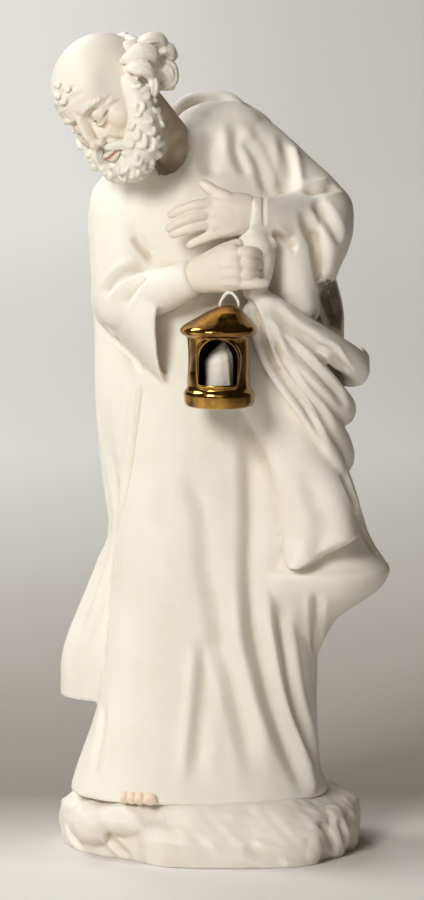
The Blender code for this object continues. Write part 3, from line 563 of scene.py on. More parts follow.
        soft = self.points.copy()
        for _ in range(6):
            soft = np.stack([around(soft[:, axis]) for axis in range(3)], axis=1)
        depth = ((soft - self.points) * self.normals).sum(axis=1)
        for _ in range(2):
            depth = around(depth)
        self.tones[:, Tone.HOLLOW_SHADE.value] = np.clip(0.5 + gain * depth, 0, 1)

    def done(self, place: Matrix | None = None) -> bpy.types.Mesh:
        """Writes points and tones to the mesh.

        Args:
            place: a last transform in millimetres, where the piece was made in a frame of its own.

        Returns:
            The mesh in metres, smooth shaded.
        """
        self.refresh()
        # paints shade into the hollows, by how deep each one is
        self.hollow_shade_tones(HOLLOW_SHADE_GAIN)
        tint = self.mesh.attributes.new("tint", "FLOAT_COLOR", "POINT")
        tint.data.foreach_set("color", self.tones.astype(np.float32).ravel())
        self.mesh.transform(Matrix.Scale(MM, 4) @ (place or Matrix.Identity(4)))
        self.mesh.shade_smooth()
        return self.mesh


class Shader:
    """Builds one node material around its Principled shader."""

    def __init__(self, name: str) -> None:
        """Starts an empty material of a name."""
        self.material = bpy.data.materials.new(name)
        self.material.use_nodes = True
        self.tree = self.material.node_tree
        self.shader = self.tree.nodes["Principled BSDF"]
        self.place = self.tree.nodes.new("ShaderNodeTexCoord").outputs["Object"]

    def put(self, socket: str, value: float | Row | Socket) -> None:
        """Sets or links one of the shader's sockets."""
        if isinstance(value, Socket):
            self.tree.links.new(value, self.shader.inputs[socket])
        elif isinstance(value, (int, float)):
            self.shader.inputs[socket].default_value = value
        else:
            self.shader.inputs[socket].default_value = (
                *value, 1,
            ) if len(value) == 3 and socket == "Base Color" else value

    def noise(self, scale: float, detail: float = 3.0, rough: float = 0.5) -> Socket:
        """Soft noise read in the object's own coordinates, in metres."""
        node = self.tree.nodes.new("ShaderNodeTexNoise")
        node.inputs["Scale"].default_value = scale
        node.inputs["Detail"].default_value = detail
        node.inputs["Roughness"].default_value = rough
        self.tree.links.new(self.place, node.inputs["Vector"])
        return node.outputs["Fac"]

    def ranged(
        self, value: Socket, low: float, high: float, to_low: float = 0.0, to_high: float = 1.0,
    ) -> Socket:
        """Maps a value's range to another, clamped."""
        node = self.tree.nodes.new("ShaderNodeMapRange")
        for socket, number in (
            ("From Min", low), ("From Max", high), ("To Min", to_low), ("To Max", to_high),
        ):
            node.inputs[socket].default_value = number
        self.tree.links.new(value, node.inputs["Value"])
        return node.outputs["Result"]

    def mixed(self, share: Socket, first: Socket | Row, second: Socket | Row) -> Socket:
        """Mixes two colours by a share."""
        node = self.tree.nodes.new("ShaderNodeMix")
        node.data_type = "RGBA"
        self.tree.links.new(share, node.inputs[0])
        for socket, colour in ((node.inputs[6], first), (node.inputs[7], second)):
            if isinstance(colour, Socket):
                self.tree.links.new(colour, socket)
            else:
                socket.default_value = (*colour, 1)
        return node.outputs[2]

    def tones(self) -> dict[Tone, Socket]:
        """The skin's painted tones, one socket each."""
        node = self.tree.nodes.new("ShaderNodeAttribute")
        node.attribute_name = "tint"
        parts = self.tree.nodes.new("ShaderNodeSeparateColor")
        self.tree.links.new(node.outputs["Color"], parts.inputs["Color"])
        return {
            Tone.FLESH: parts.outputs["Red"], Tone.LINE_AND_SHADE: parts.outputs["Green"],
            Tone.ROSE_AND_SIDE_SHADE: parts.outputs["Blue"], Tone.HOLLOW_SHADE: node.outputs["Alpha"],
        }

    def bump(self, height: Socket, strength: float, distance: float) -> None:
        """Adds fine relief to the shader's normal."""
        node = self.tree.nodes.new("ShaderNodeBump")
        node.inputs["Strength"].default_value = strength
        node.inputs["Distance"].default_value = distance
        self.tree.links.new(height, node.inputs["Height"])
        self.tree.links.new(node.outputs["Normal"], self.shader.inputs["Normal"])


@dataclass(frozen=True)
class Bisque:
    """Unglazed ivory porcelain with a satin skin, tinted by hand, with painted shade in its hollows and a
    painted highlight on its ridges.
    """

    name: str = "ivory_bisque"
    ivory: tuple[float, float, float] = (0.84, 0.80, 0.70)
    pale: tuple[float, float, float] = (0.89, 0.855, 0.765)
    # the colour of the painted shade in the hollows, also of the fine specks
    hollow: tuple[float, float, float] = (0.56, 0.455, 0.32)
    # the painted highlight on the ridges
    crest_highlight: tuple[float, float, float] = (0.92, 0.885, 0.80)
    flesh: tuple[float, float, float] = (0.80, 0.56, 0.40)
    rose: tuple[float, float, float] = (0.66, 0.27, 0.18)
    # the colour of painted lines, also of the painted shade behind the left sleeve
    line: tuple[float, float, float] = (0.075, 0.035, 0.02)
    roughness: float = 0.5
    blush: float = 0.5

    def material(self) -> Material:
        """The node material."""
        made = Shader(self.name)
        tones = made.tones()
        cloud = made.ranged(made.noise(60, 4), 0.35, 0.65)
        colour = made.mixed(cloud, self.ivory, self.pale)
        # painted shade: darker and warmer in the hollows, lighter on the ridges
        colour = made.mixed(made.ranged(tones[Tone.HOLLOW_SHADE], 0.58, 1.0, 0, 0.6), colour, self.hollow)
        colour = made.mixed(made.ranged(tones[Tone.HOLLOW_SHADE], 0.44, 0.1, 0, 0.6), colour, self.crest_highlight)
        colour = made.mixed(made.ranged(tones[Tone.FLESH], 0, 1, 0, self.blush), colour, self.flesh)
        colour = made.mixed(made.ranged(tones[Tone.ROSE_AND_SIDE_SHADE], 0, 1, 0, 0.8), colour, self.rose)
        speck = made.ranged(made.noise(2600, 2), 0.72, 0.8, 0, 0.10)
        colour = made.mixed(speck, colour, self.hollow)
        colour = made.mixed(tones[Tone.LINE_AND_SHADE], colour, self.line)
        made.put("Base Color", colour)
        made.put(
            "Roughness",
            made.ranged(made.noise(320, 3), 0.3, 0.7, self.roughness - 0.06, self.roughness + 0.06),
        )
        made.put("Specular IOR Level", 0.42)
        made.put("Subsurface Weight", 0.12)
        made.put("Subsurface Radius", (0.9, 0.55, 0.32))
        made.put("Subsurface Scale", 0.003)
        made.bump(made.noise(1500, 4, 0.6), 0.12, 0.00012)
        return made.material


@dataclass(frozen=True)
class GoldLustre:
    """Fired gold lustre over a dark glaze: a bright mirror outside, with painted shade making it dull and
    dark in its hollows, on its right side and inside.
    """

    name: str = "gold_lustre"
    gold: tuple[float, float, float] = (0.64, 0.36, 0.08)
    # darker gold for the lustre's uneven tone, also the colour of its painted shade in the hollows and on
    # the right side
    brown_and_shade: tuple[float, float, float] = (0.20, 0.10, 0.025)
    # the painted shade inside the lantern
    inside: tuple[float, float, float] = (0.06, 0.03, 0.012)

    def material(self) -> Material:
        """The node material."""
        made = Shader(self.name)
        tones = made.tones()
        cloud = made.ranged(made.noise(190, 3), 0.38, 0.64)
        colour = made.mixed(cloud, self.gold, self.brown_and_shade)
        # painted shade in the hollows
        colour = made.mixed(made.ranged(tones[Tone.HOLLOW_SHADE], 0.54, 0.9), colour, self.brown_and_shade)
        # painted shade on the right side
        colour = made.mixed(tones[Tone.ROSE_AND_SIDE_SHADE], colour, self.brown_and_shade)
        # painted shade inside the lantern
        colour = made.mixed(tones[Tone.LINE_AND_SHADE], colour, self.inside)
        made.put("Base Color", colour)
        made.put("Metallic", 1.0)
        made.put("Roughness", made.ranged(made.noise(420, 3), 0.3, 0.7, 0.10, 0.22))
        made.put("Coat Weight", 0.15)
        made.put("Coat Roughness", 0.08)
        made.bump(made.noise(420, 3), 0.10, 0.0002)
        return made.material


@dataclass(frozen=True)
class StudioPaper:
    """Matt pale paper under and behind the figure, with painted shade: dark on the floor just behind the
    figure, lighter further back, and darker towards the right.
    """

    name: str = "studio_paper"
    near: tuple[float, float, float] = (0.80, 0.78, 0.75)
    # painted shade on the floor just behind the figure
    deep: tuple[float, float, float] = (0.33, 0.305, 0.27)
    high: tuple[float, float, float] = (0.86, 0.85, 0.83)
    # with high, painted light on the left of the back and painted shade towards the right
    shade: tuple[float, float, float] = (0.73, 0.715, 0.69)

    def material(self) -> Material:
        """The node material."""
        made = Shader(self.name)
        parts = made.tree.nodes.new("ShaderNodeSeparateXYZ")
        made.tree.links.new(made.place, parts.inputs["Vector"])
        # painted shade: dark behind the figure, lighter further back, and darker to the right
        colour = made.mixed(made.ranged(parts.outputs["Y"], -0.03, 0.07), self.near, self.deep)
        high = made.mixed(made.ranged(parts.outputs["X"], -0.11, 0.11), self.high, self.shade)
        colour = made.mixed(made.ranged(parts.outputs["Y"], 0.08, 0.9), colour, high)
        made.put("Base Color", colour)
        made.put("Roughness", 0.9)
        made.put("Specular IOR Level", 0.2)
        return made.material


def dress(
    name: str, mesh: bpy.types.Mesh, material: Material, node: str = "figure",
) -> Thing:
    """Makes a finished piece, puts it under the root and hides the CAD node that it stands for.

    Args:
        name: the piece's name.
        mesh: its mesh, in metres and in place.
        material: its finish.
        node: the CAD node that it stands for.

    Returns:
        The piece.
    """
    piece = linked(name, mesh)
    mesh.materials.clear()
    mesh.materials.append(material)
    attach(piece, "root")
    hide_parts(node)
    count = sum(len(face.vertices) - 2 for face in mesh.polygons)
    LOG.info("%s: %d triangles", name, count)
    return piece


@dataclass
class Drapery:
    """The tunic, the mantle and their sleeves, with every fold the cloth falls in."""

    voxel: float = 0.52
    triangles: int = 195_000
    sleeve_wall: float = 2.1
    sleeve_depth: float = 0.6
    finish: Bisque = field(default_factory=Bisque)

    def skirt(self) -> Body:
        """The tunic from under the hem to the waist."""
        return stack([
            (6, -34, 29.5, -21, 21), (15.2, -35.2, 30.4, -22.6, 21.8), (16.2, -38.4, 33, -25.4, 23.8),
            (17.4, -39.2, 33.7, -26.2, 24.2), (24, -37.3, 31.5, -25.5, 23), (41, -31.6, 30.5, -24.5, 21),
            (60, -29, 30.3, -24, 20), (80, -27, 29, -24, 19), (100, -26, 28, -23, 19),
            (120, -25, 27, -22, 19), (140, -24, 26, -21.5, 19), (152, -23, 24, -20, 18),
        ])

    def torso(self) -> Body:
        """The chest and back under the arms."""
        return stack([
            (118, -26, 28, -19, 19), (140, -26, 29, -20, 19), (160, -28, 29, -22, 18),
            (178, -30, 28, -24, 17), (190, -30, 24, -22, 15), (199, -23, 19, -17, 13),
            (207, -10, 14, -10, 11),
        ], power=2.1)

    def mantle(self) -> Body:
        """The cloak over the back and both sides, down to its hem."""
        return stack([
            (41.5, -42.3, 29, -6, 27), (43, -42.5, 29, -7, 27.3), (55, -41.6, 29.5, -9, 26.5),
            (71, -35.3, 31, -11, 25), (86, -29.8, 33, -13, 24), (100, -29.6, 35, -14, 23),
            (120, -32.4, 36.5, -15, 22), (143, -33.1, 38, -14, 22), (155, -33, 37.5, -12, 22),
            (170, -32.5, 33, -10, 21), (185, -31, 29, -6, 19), (196, -22, 24, -3, 17), (206, -8, 17, 0, 14),
            (211, -4, 10, 2, 11),
        ], power=2.2)

    def bell(self) -> Body:
        """The flared corner of the mantle at the left hip, which turns under at its rim."""
        return stack([
            (54, 6, 30, -12, 12), (64.6, 4, 35.4, -17, 13), (69, 4, 40.3, -19, 13),
            (74, 4, 47.4, -21.5, 13), (78, 4, 50.4, -23.2, 13), (80.5, 4, 50.8, -23.6, 12.5),
            (82.5, 4, 49.6, -21.5, 12), (87.5, 4, 46.3, -19, 12), (97, 4, 42.6, -17, 12),
            (107, 4, 39.2, -16, 12), (120, 4, 37, -15, 12),
        ], power=2.2)

    def panel(self) -> Body:
        """The front fall of cloth between the knees and the flared corner."""
        return stack([
            (83.2, 21.5, 26.5, -26.8, -10), (86, 21, 32, -26.8, -8), (90.6, 20.4, 41, -26.4, -6),
            (93, 20, 41.4, -26.2, -6), (102, 18.6, 39.6, -26, -6), (109, 16.4, 37.1, -25.8, -6),
            (116, 13, 32.9, -25.2, -6), (126, 8, 27.9, -24.4, -6), (141, 0, 17.6, -23.4, -6),
            (156, -5, 10, -22.8, -6),
        ], power=2.6)

    def gathers(self) -> list[Body]:
        """Folds of the mantle that fan out from the fist to the left hip."""
        return [
            limb([
                (12, -28.5, 160.5, 3, 4), (23, -25.5, 152, 3.6, 4.5), (33.5, -20, 144.5, 4, 5.5),
                (40.5, -10, 138.5, 4.2, 6), (38, 4, 135, 4, 6),
            ]),
            limb([
                (11.5, -28.5, 159, 2.4, 3.6), (21, -26, 147, 3.2, 4.2), (30, -21.5, 136, 4, 5),
                (36.6, -12, 127, 4.2, 5), (36, 2, 124, 4, 5),
            ]),
            limb([
                (10.5, -28, 158, 2, 3.4), (17.5, -26, 145, 2.8, 4), (25.5, -23, 133, 3.4, 4.6),
                (33, -17, 122, 4, 5), (36.4, -8, 113, 4.4, 5), (35, 4, 108, 4.2, 5),
            ]),
            limb([
                (9.5, -27.5, 157, 1.6, 3), (16, -26, 142, 2, 3.4), (25, -23.5, 129, 2.4, 3.8),
                (32.5, -20, 117, 2.6, 4), (37.5, -15, 106, 2.6, 4), (41, -12, 94, 2.6, 4),
            ]),
        ]

    def right_arm(self) -> list[Body]:
        """The upper arm, the tight sleeve and the cuff of the arm that holds the lantern."""
        return [
            limb([
                (-19, -2, 191, 12, 11), (-22, -6, 180, 11.8, 12), (-22.2, -10, 168, 11, 11.5),
                (-21.5, -12.5, 156.5, 10.4, 10.5), (-19, -13.5, 149, 8, 9),
            ], around=40, tip=0.2),
            limb([
                (-20, -17, 158, 7, 6.5), (-13, -23, 160.5, 6.2, 5.6), (-8, -26.8, 162.6, 5.5, 5.1),
                (-3.4, -29.4, 164.6, 5.3, 4.9),
            ], tip=0.08),
        ]

    def right_sleeve(self) -> Body:
        """The wide sleeve that hangs open below the right forearm: a cup whose mouth faces the lantern."""
        wall, depth = self.sleeve_wall, self.sleeve_depth
        # x of the near and far edge, front, back, bottom, top
        outside = [
            (-33, -33, -8, -4, 155, 160), (-31, -31, -15, 1, 150, 168), (-27, -26, -20, 1, 146.5, 170),
            (-22, -20, -24, -2, 142, 169), (-18, -14, -26.8, -8, 137.6, 168),
            (-14.6, -8.4, -28, -12, 134.2, 167.4),
        ]

        def place(u: np.ndarray, v: np.ndarray) -> np.ndarray:
            """Points of the cup's outside, its lip and its inside."""
            inner = v > 0.62
            back_in = np.clip((v - 0.64) / 0.36, 0, 1)
            near, far, front, back, bottom, top = read(
                outside,
                np.where(inner, 1 - back_in * depth, np.clip(v / 0.6, 0, 1)),
            ).T
            turn = 2 * math.pi * u
            shrink = np.where(inner, wall, 0.0)
            half_y = (back - front) / 2 - shrink
            half_z = (top - bottom) / 2 - shrink
            pinch = 1 - 0.35 * np.clip(-np.sin(turn), 0, 1) ** 2
            y = (front + back) / 2 + half_y * np.cos(turn) * pinch
            z = (top + bottom) / 2 + half_z * np.sin(turn)
            x = near + (far - near) * (np.cos(turn) + 1) / 2
            return np.stack([x, y, z], axis=1)

        return rolled(90, 120, place)

    def left_arm(self) -> list[Body]:
        """The shoulder, elbow and tight sleeve of the arm laid on the chest."""
        return [
            limb([
                (-1, 3, 203.5, 8.6, 9), (5.2, 2, 201.2, 10.4, 11), (13, 0, 195, 11, 12),
                (21.8, -2.5, 187, 11, 12.5), (28.6, -6, 181, 10.6, 12), (29.4, -9, 175, 10.2, 11),
                (28, -11, 168, 9, 9.5),
            ], around=40, tip=0.16),
            limb([
                (31, -10, 180.5, 8, 7), (25, -17, 179.5, 8, 7), (18.5, -23.5, 180, 6.8, 5.6),
                (12.5, -28, 181.6, 5.2, 4.6), (10, -29.3, 182, 4.9, 4.2),
            ]),
        ]

    def left_sleeve(self) -> list[Body]:
        """The wide sleeve below the left forearm: its front sheet and the folds hanging from the elbow."""
        return [
            stack([
                (151, 22.5, 29.8, -19, 2), (153.5, 19.5, 31, -21.5, 5), (158, 17.5, 31, -23.5, 6),
                (166, 16, 30.2, -25, 6), (174, 15, 29, -26, 6), (182, 16, 28, -25, 4),
            ], power=2.8),
            stack([
                (160, 28, 33.8, -15, 8), (163, 27, 35.4, -19, 10), (168, 26, 37.8, -21.5, 10),
                (171, 25, 39, -22.5, 9), (176.5, 24, 40.3, -22.5, 8), (184.3, 22, 39.6, -19.5, 6),
                (189.5, 20, 35, -14, 4),
            ], power=2.1),
        ]

    def neck(self) -> Body:
        """The neck, bent towards the bowed head."""
        return limb([
            (-2, -1, 192, 8.5, 8), (-8, -7, 199, 7.6, 7.2), (-14.5, -13, 206, 7.4, 7),
            (-20.5, -19, 212, 7.6, 7.4),
        ], around=32)

    def collar(self) -> Body:
        """The rolled edge of the mantle behind the neck."""
        return limb([
            (-11, 4, 207, 1.8, 3.4), (-6, 6, 210.6, 2.4, 3.4), (0, 6, 211.8, 2.6, 3.6),
            (6, 4, 210.8, 2.6, 3.6), (9.4, -2, 207.4, 2, 3), (9.4, -9, 202.4, 1.6, 2),
        ])

    def bunch(self) -> list[Body]:
        """The mantle bunched in the fist, and the small porcelain ring that the lantern hangs from."""
        return [
            limb([
                (3, -34.4, 156.4, 0.6, 0.7), (3.4, -34.4, 158.8, 0.6, 0.7), (5.6, -34.2, 161, 0.6, 0.7),
                (7.8, -34.4, 158.8, 0.6, 0.7), (8.2, -34.4, 156.4, 0.6, 0.7),
            ], tip=0.05),
            ball((12.6, -29.6, 173.4), (5, 4, 4), (0, 20, 0)),
            ball((17.2, -28.6, 173.6), (1.4, 2, 3), (0, 10, 0)),
            limb([(14.5, -28, 173, 4, 4), (14, -27.5, 166, 3.6, 4.2), (11.5, -27.5, 158, 3, 4.2)]),
        ]

    def spaces(self) -> list[Body]:
        """The open spaces between cloth layers: under the left elbow, and inside the tunic's neck."""
        return [
            limb([
                (29, -12, 165, 3, 8), (32.5, -10, 158, 3.6, 8), (35.8, -9, 151, 4.4, 8),
                (38, -8, 146, 4.4, 7), (41.5, -6, 142, 3, 5),
            ]),
            limb([(-9, -16, 206, 4.5, 5), (-10.5, -16.5, 197, 4.5, 4), (-11.5, -17, 190.5, 3.6, 3)]),
        ]

    def folds(self) -> list[Fold]:
        """Every fold of the cloth, from the broad falls to the creases at the arms."""
        front, back, left, right = Side.FRONT, Side.BACK, Side.LEFT, Side.RIGHT
        # depth, half width left, half width right, lip, line
        drawn = [
            (
                2.6,
                4.2,
                2.4,
                0.12,
                [
                    (10.2, 130), (11, 119), (11.5, 108), (11.9, 96), (11.6, 83), (12.5, 68), (14.1, 59),
                    (17.1, 46), (21.2, 34), (25.3, 23), (27.8, 15),
                ],
            ),
            (
                -2.0,
                2.4,
                3.0,
                0,
                [(14.5, 92), (15.6, 71), (17.1, 60), (19, 50), (22.4, 38), (28, 23), (30, 16)],
            ),
            (2.3, 1.9, 1.9, 0.2, [(18.6, 76), (20, 66), (21.4, 58), (23.6, 46), (27.4, 34), (31, 22)]),
            (1.5, 3.3, 2.3, 0.2, [(1.4, 80), (3, 62), (6, 52), (9.1, 39), (13.1, 20)]),
            (-1.4, 2.8, 3.4, 0, [(6.5, 84), (7.5, 64), (10.6, 50), (14, 38), (18.5, 22)]),
            (1.1, 2.9, 1.9, 0.2, [(-1.1, 66), (-2.3, 48), (-5, 20)]),
            (-1.0, 2.2, 2.6, 0, [(-3.6, 62), (-4.8, 45), (-7.5, 20)]),
            (1.2, 3.6, 2.6, 0.1, [(-7, 114), (-1.8, 96), (-0.7, 83), (1.8, 66)]),
            (
                1.5,
                1.3,
                0.8,
                0.2,
                [(-18.5, 135), (-20.1, 128), (-23, 107), (-25.8, 92), (-27.2, 80), (-28.6, 63), (-30, 46)],
            ),
            (1.2, 2.0, 1.6, 0.2, [(-29.5, 44), (-31, 32), (-33, 20)]),
            (1.4, 4.2, 3.4, 0, [(24.4, 112), (29.8, 102), (32, 96), (31, 90), (26.9, 86)]),
            (
                2.4,
                1.0,
                1.2,
                0.25,
                [(9.9, 160), (12.5, 154.7), (15.2, 147), (18, 140), (22.6, 133), (27.8, 126.5), (33, 116)],
            ),
            (1.8, 1.2, 1.2, 0.3, [(16.2, 150), (19.5, 143), (24.5, 134), (30.1, 127.5), (35.2, 121)]),
            (1.8, 1.2, 1.4, 0.3, [(18.4, 152), (23.9, 144.5), (29.7, 138.5), (35.1, 132.6), (39, 127)]),
            (1.7, 1.2, 1.2, 0.3, [(30, 146), (33.9, 143.5), (36, 140), (39.5, 136)]),
            (1.2, 1.4, 1.4, 0.3, [(16.2, 158), (22.2, 151), (28.3, 146.5), (33.4, 142)]),
            (1.0, 1.0, 0.9, 0.3, [(-21.2, 175.2), (-18.8, 172), (-15.4, 168)]),
            (0.6, 0.7, 0.7, 0.3, [(-18.8, 175.6), (-17, 172.6), (-14.8, 170.2)]),
            (1.2, 1.3, 1.1, 0.3, [(-29.2, 158.5), (-27.1, 162), (-23, 165.3), (-16.6, 167)]),
            (1.2, 1.2, 1.2, 0.3, [(-24.3, 156), (-20.2, 161.7), (-16.6, 165.4)]),
            (1.0, 2.4, 2.0, 0.2, [(1, 205), (-0.2, 196.5), (0.9, 191)]),
            (1.1, 2.2, 1.8, 0.2, [(7.1, 207), (8, 198), (10.8, 191)]),
            (1.1, 2.0, 1.7, 0.2, [(10, 203), (11.6, 199), (13.8, 194.6), (15.6, 189), (16.4, 186)]),
            (1.2, 2.0, 1.7, 0.2, [(20, 203.5), (21.4, 198.5), (21.9, 194.3), (21.3, 190), (18.8, 186.6)]),
            (-1.0, 1.5, 1.5, 0, [(23, 200), (24.3, 194), (25.6, 188)]),
            (1.8, 1.5, 1.4, 0.3, [(26.2, 186.8), (29.3, 187.6), (32.6, 188), (35.6, 188.4)]),
            (1.6, 1.8, 1.6, 0.2, [(28.4, 184.6), (32.5, 180), (37.4, 172.6)]),
            (1.6, 2.0, 1.6, 0.2, [(25, 184), (28.6, 174), (30.9, 164.4), (31.2, 158)]),
            (1.3, 1.2, 1.0, 0.3, [(16.7, 177.2), (20.9, 174.2), (24.5, 171.6)]),
            (1.5, 1.6, 1.2, 0.2, [(29.4, 77), (29.8, 68), (30, 57), (30.2, 42)]),
            (1.3, 1.4, 1.2, 0.2, [(36.6, 110), (39.8, 101), (43.6, 91), (47, 84)]),
            (0.5, 0.5, 0.5, 0.2, [(15.2, 189), (15, 185), (15, 181), (15.2, 178.4)]),
            (2.6, 3.0, 3.0, 0, [(35.4, 163), (34.6, 156), (37.2, 150), (42, 144.6)]),
            (1.3, 1.3, 1.0, 0.2, [(-30, 152), (-24.8, 145), (-20.6, 141), (-17.8, 136)]),
        ]
        folds = [Fold(depth, near, line, front, far, lip) for depth, near, far, lip, line in drawn]
        hidden = [
            (2.2, 4.0, back, [(-14, 198), (-20, 170), (-22, 130), (-24, 90), (-28, 45)]),
            (2.0, 4.0, back, [(-2, 200), (-6, 165), (-6, 120), (-8, 80), (-10, 45)]),
            (2.2, 4.0, back, [(12, 196), (10, 160), (12, 120), (9, 80), (8, 45)]),
            (2.0, 3.6, back, [(24, 184), (24, 150), (26, 118), (24, 85), (20, 48)]),
            (1.7, 3.0, back, [(34, 150), (33, 130), (34, 110), (38, 90)]),
            (1.2, 2.0, back, [(-18, 150), (-15, 110), (-17, 70)]),
            (1.2, 2.2, back, [(3, 180), (2, 140), (1, 96), (-2, 60)]),
            (1.1, 2.2, back, [(-27, 120), (-30, 80), (-34, 50)]),
            (1.8, 3.2, left, [(2, 176), (4, 140), (2, 100), (2, 70), (0, 46)]),
            (1.6, 3.2, left, [(12, 180), (14, 140), (14, 95), (16, 60), (17, 46)]),
            (1.1, 2.2, left, [(-6, 130), (-5, 100), (-4, 70), (-3, 48)]),
            (1.8, 3.0, right, [(4, 128), (6, 110), (2, 96), (-4, 88)]),
            (1.4, 2.6, right, [(14, 160), (15, 130), (12, 100), (10, 84)]),
        ]
        return folds + [Fold(depth, wide, line, side, lip=0.15) for depth, wide, side, line in hidden]

    def build(self) -> Thing:
        """Fuses the cloth, presses its folds and dresses it.

        Returns:
            The piece.
        """
        bodies = [
            self.skirt(), self.torso(), self.mantle(), self.bell(), self.panel(), self.right_sleeve(),
            self.collar(),
        ]
        bodies.append(ball((3, -1.5, 203.6), (13, 9, 8)))
        for group in (self.gathers(), self.right_arm(), self.left_arm(), self.left_sleeve(), self.bunch()):
            bodies.extend(group)
        clay = Clay(fused(bodies, self.voxel, 3, self.spaces()))
        clay.fold(self.folds())
        clay.grain(0.03, 9, 4)
        clay.refresh()
        clay = Clay(thinned(clay.mesh, self.triangles))
        self.paint_shade_inside(clay)
        return dress("robe_and_mantle", clay.done(), self.finish.material())

    def paint_shade_inside(self, clay: Clay) -> None:
        """Paints shade on the inside of the mantle where it shows behind the left sleeve, in the dark line
        tone.

        Args:
            clay: the finished cloth.
        """
        corners = np.array([(33.8, 164), (27, 151.4), (45, 142.2)])
        flat = clay.points[:, [0, 2]]
        inside = np.full(len(flat), 9.0)
        for start, end in ((corners[0], corners[1]), (corners[1], corners[2])):
            way = unit(end - start)
            gap = (flat - start) @ np.array((-way[1], way[0]))
            inside = np.minimum(inside, gap)
        # painted shade: a dark triangle behind the left sleeve, on surfaces facing the front
        dark = np.clip(inside / 1.2, 0, 1) * (flat[:, 1] > 143.5) * (flat[:, 1] < 164.5) * (
            clay.points[:, 1] < 17.0
        )
        dark = dark * np.clip((-clay.normals[:, 1] - 0.3) / 0.3, 0, 1)
        clay.tones[:, Tone.LINE_AND_SHADE.value] = np.maximum(clay.tones[:, Tone.LINE_AND_SHADE.value], 0.78 * dark)


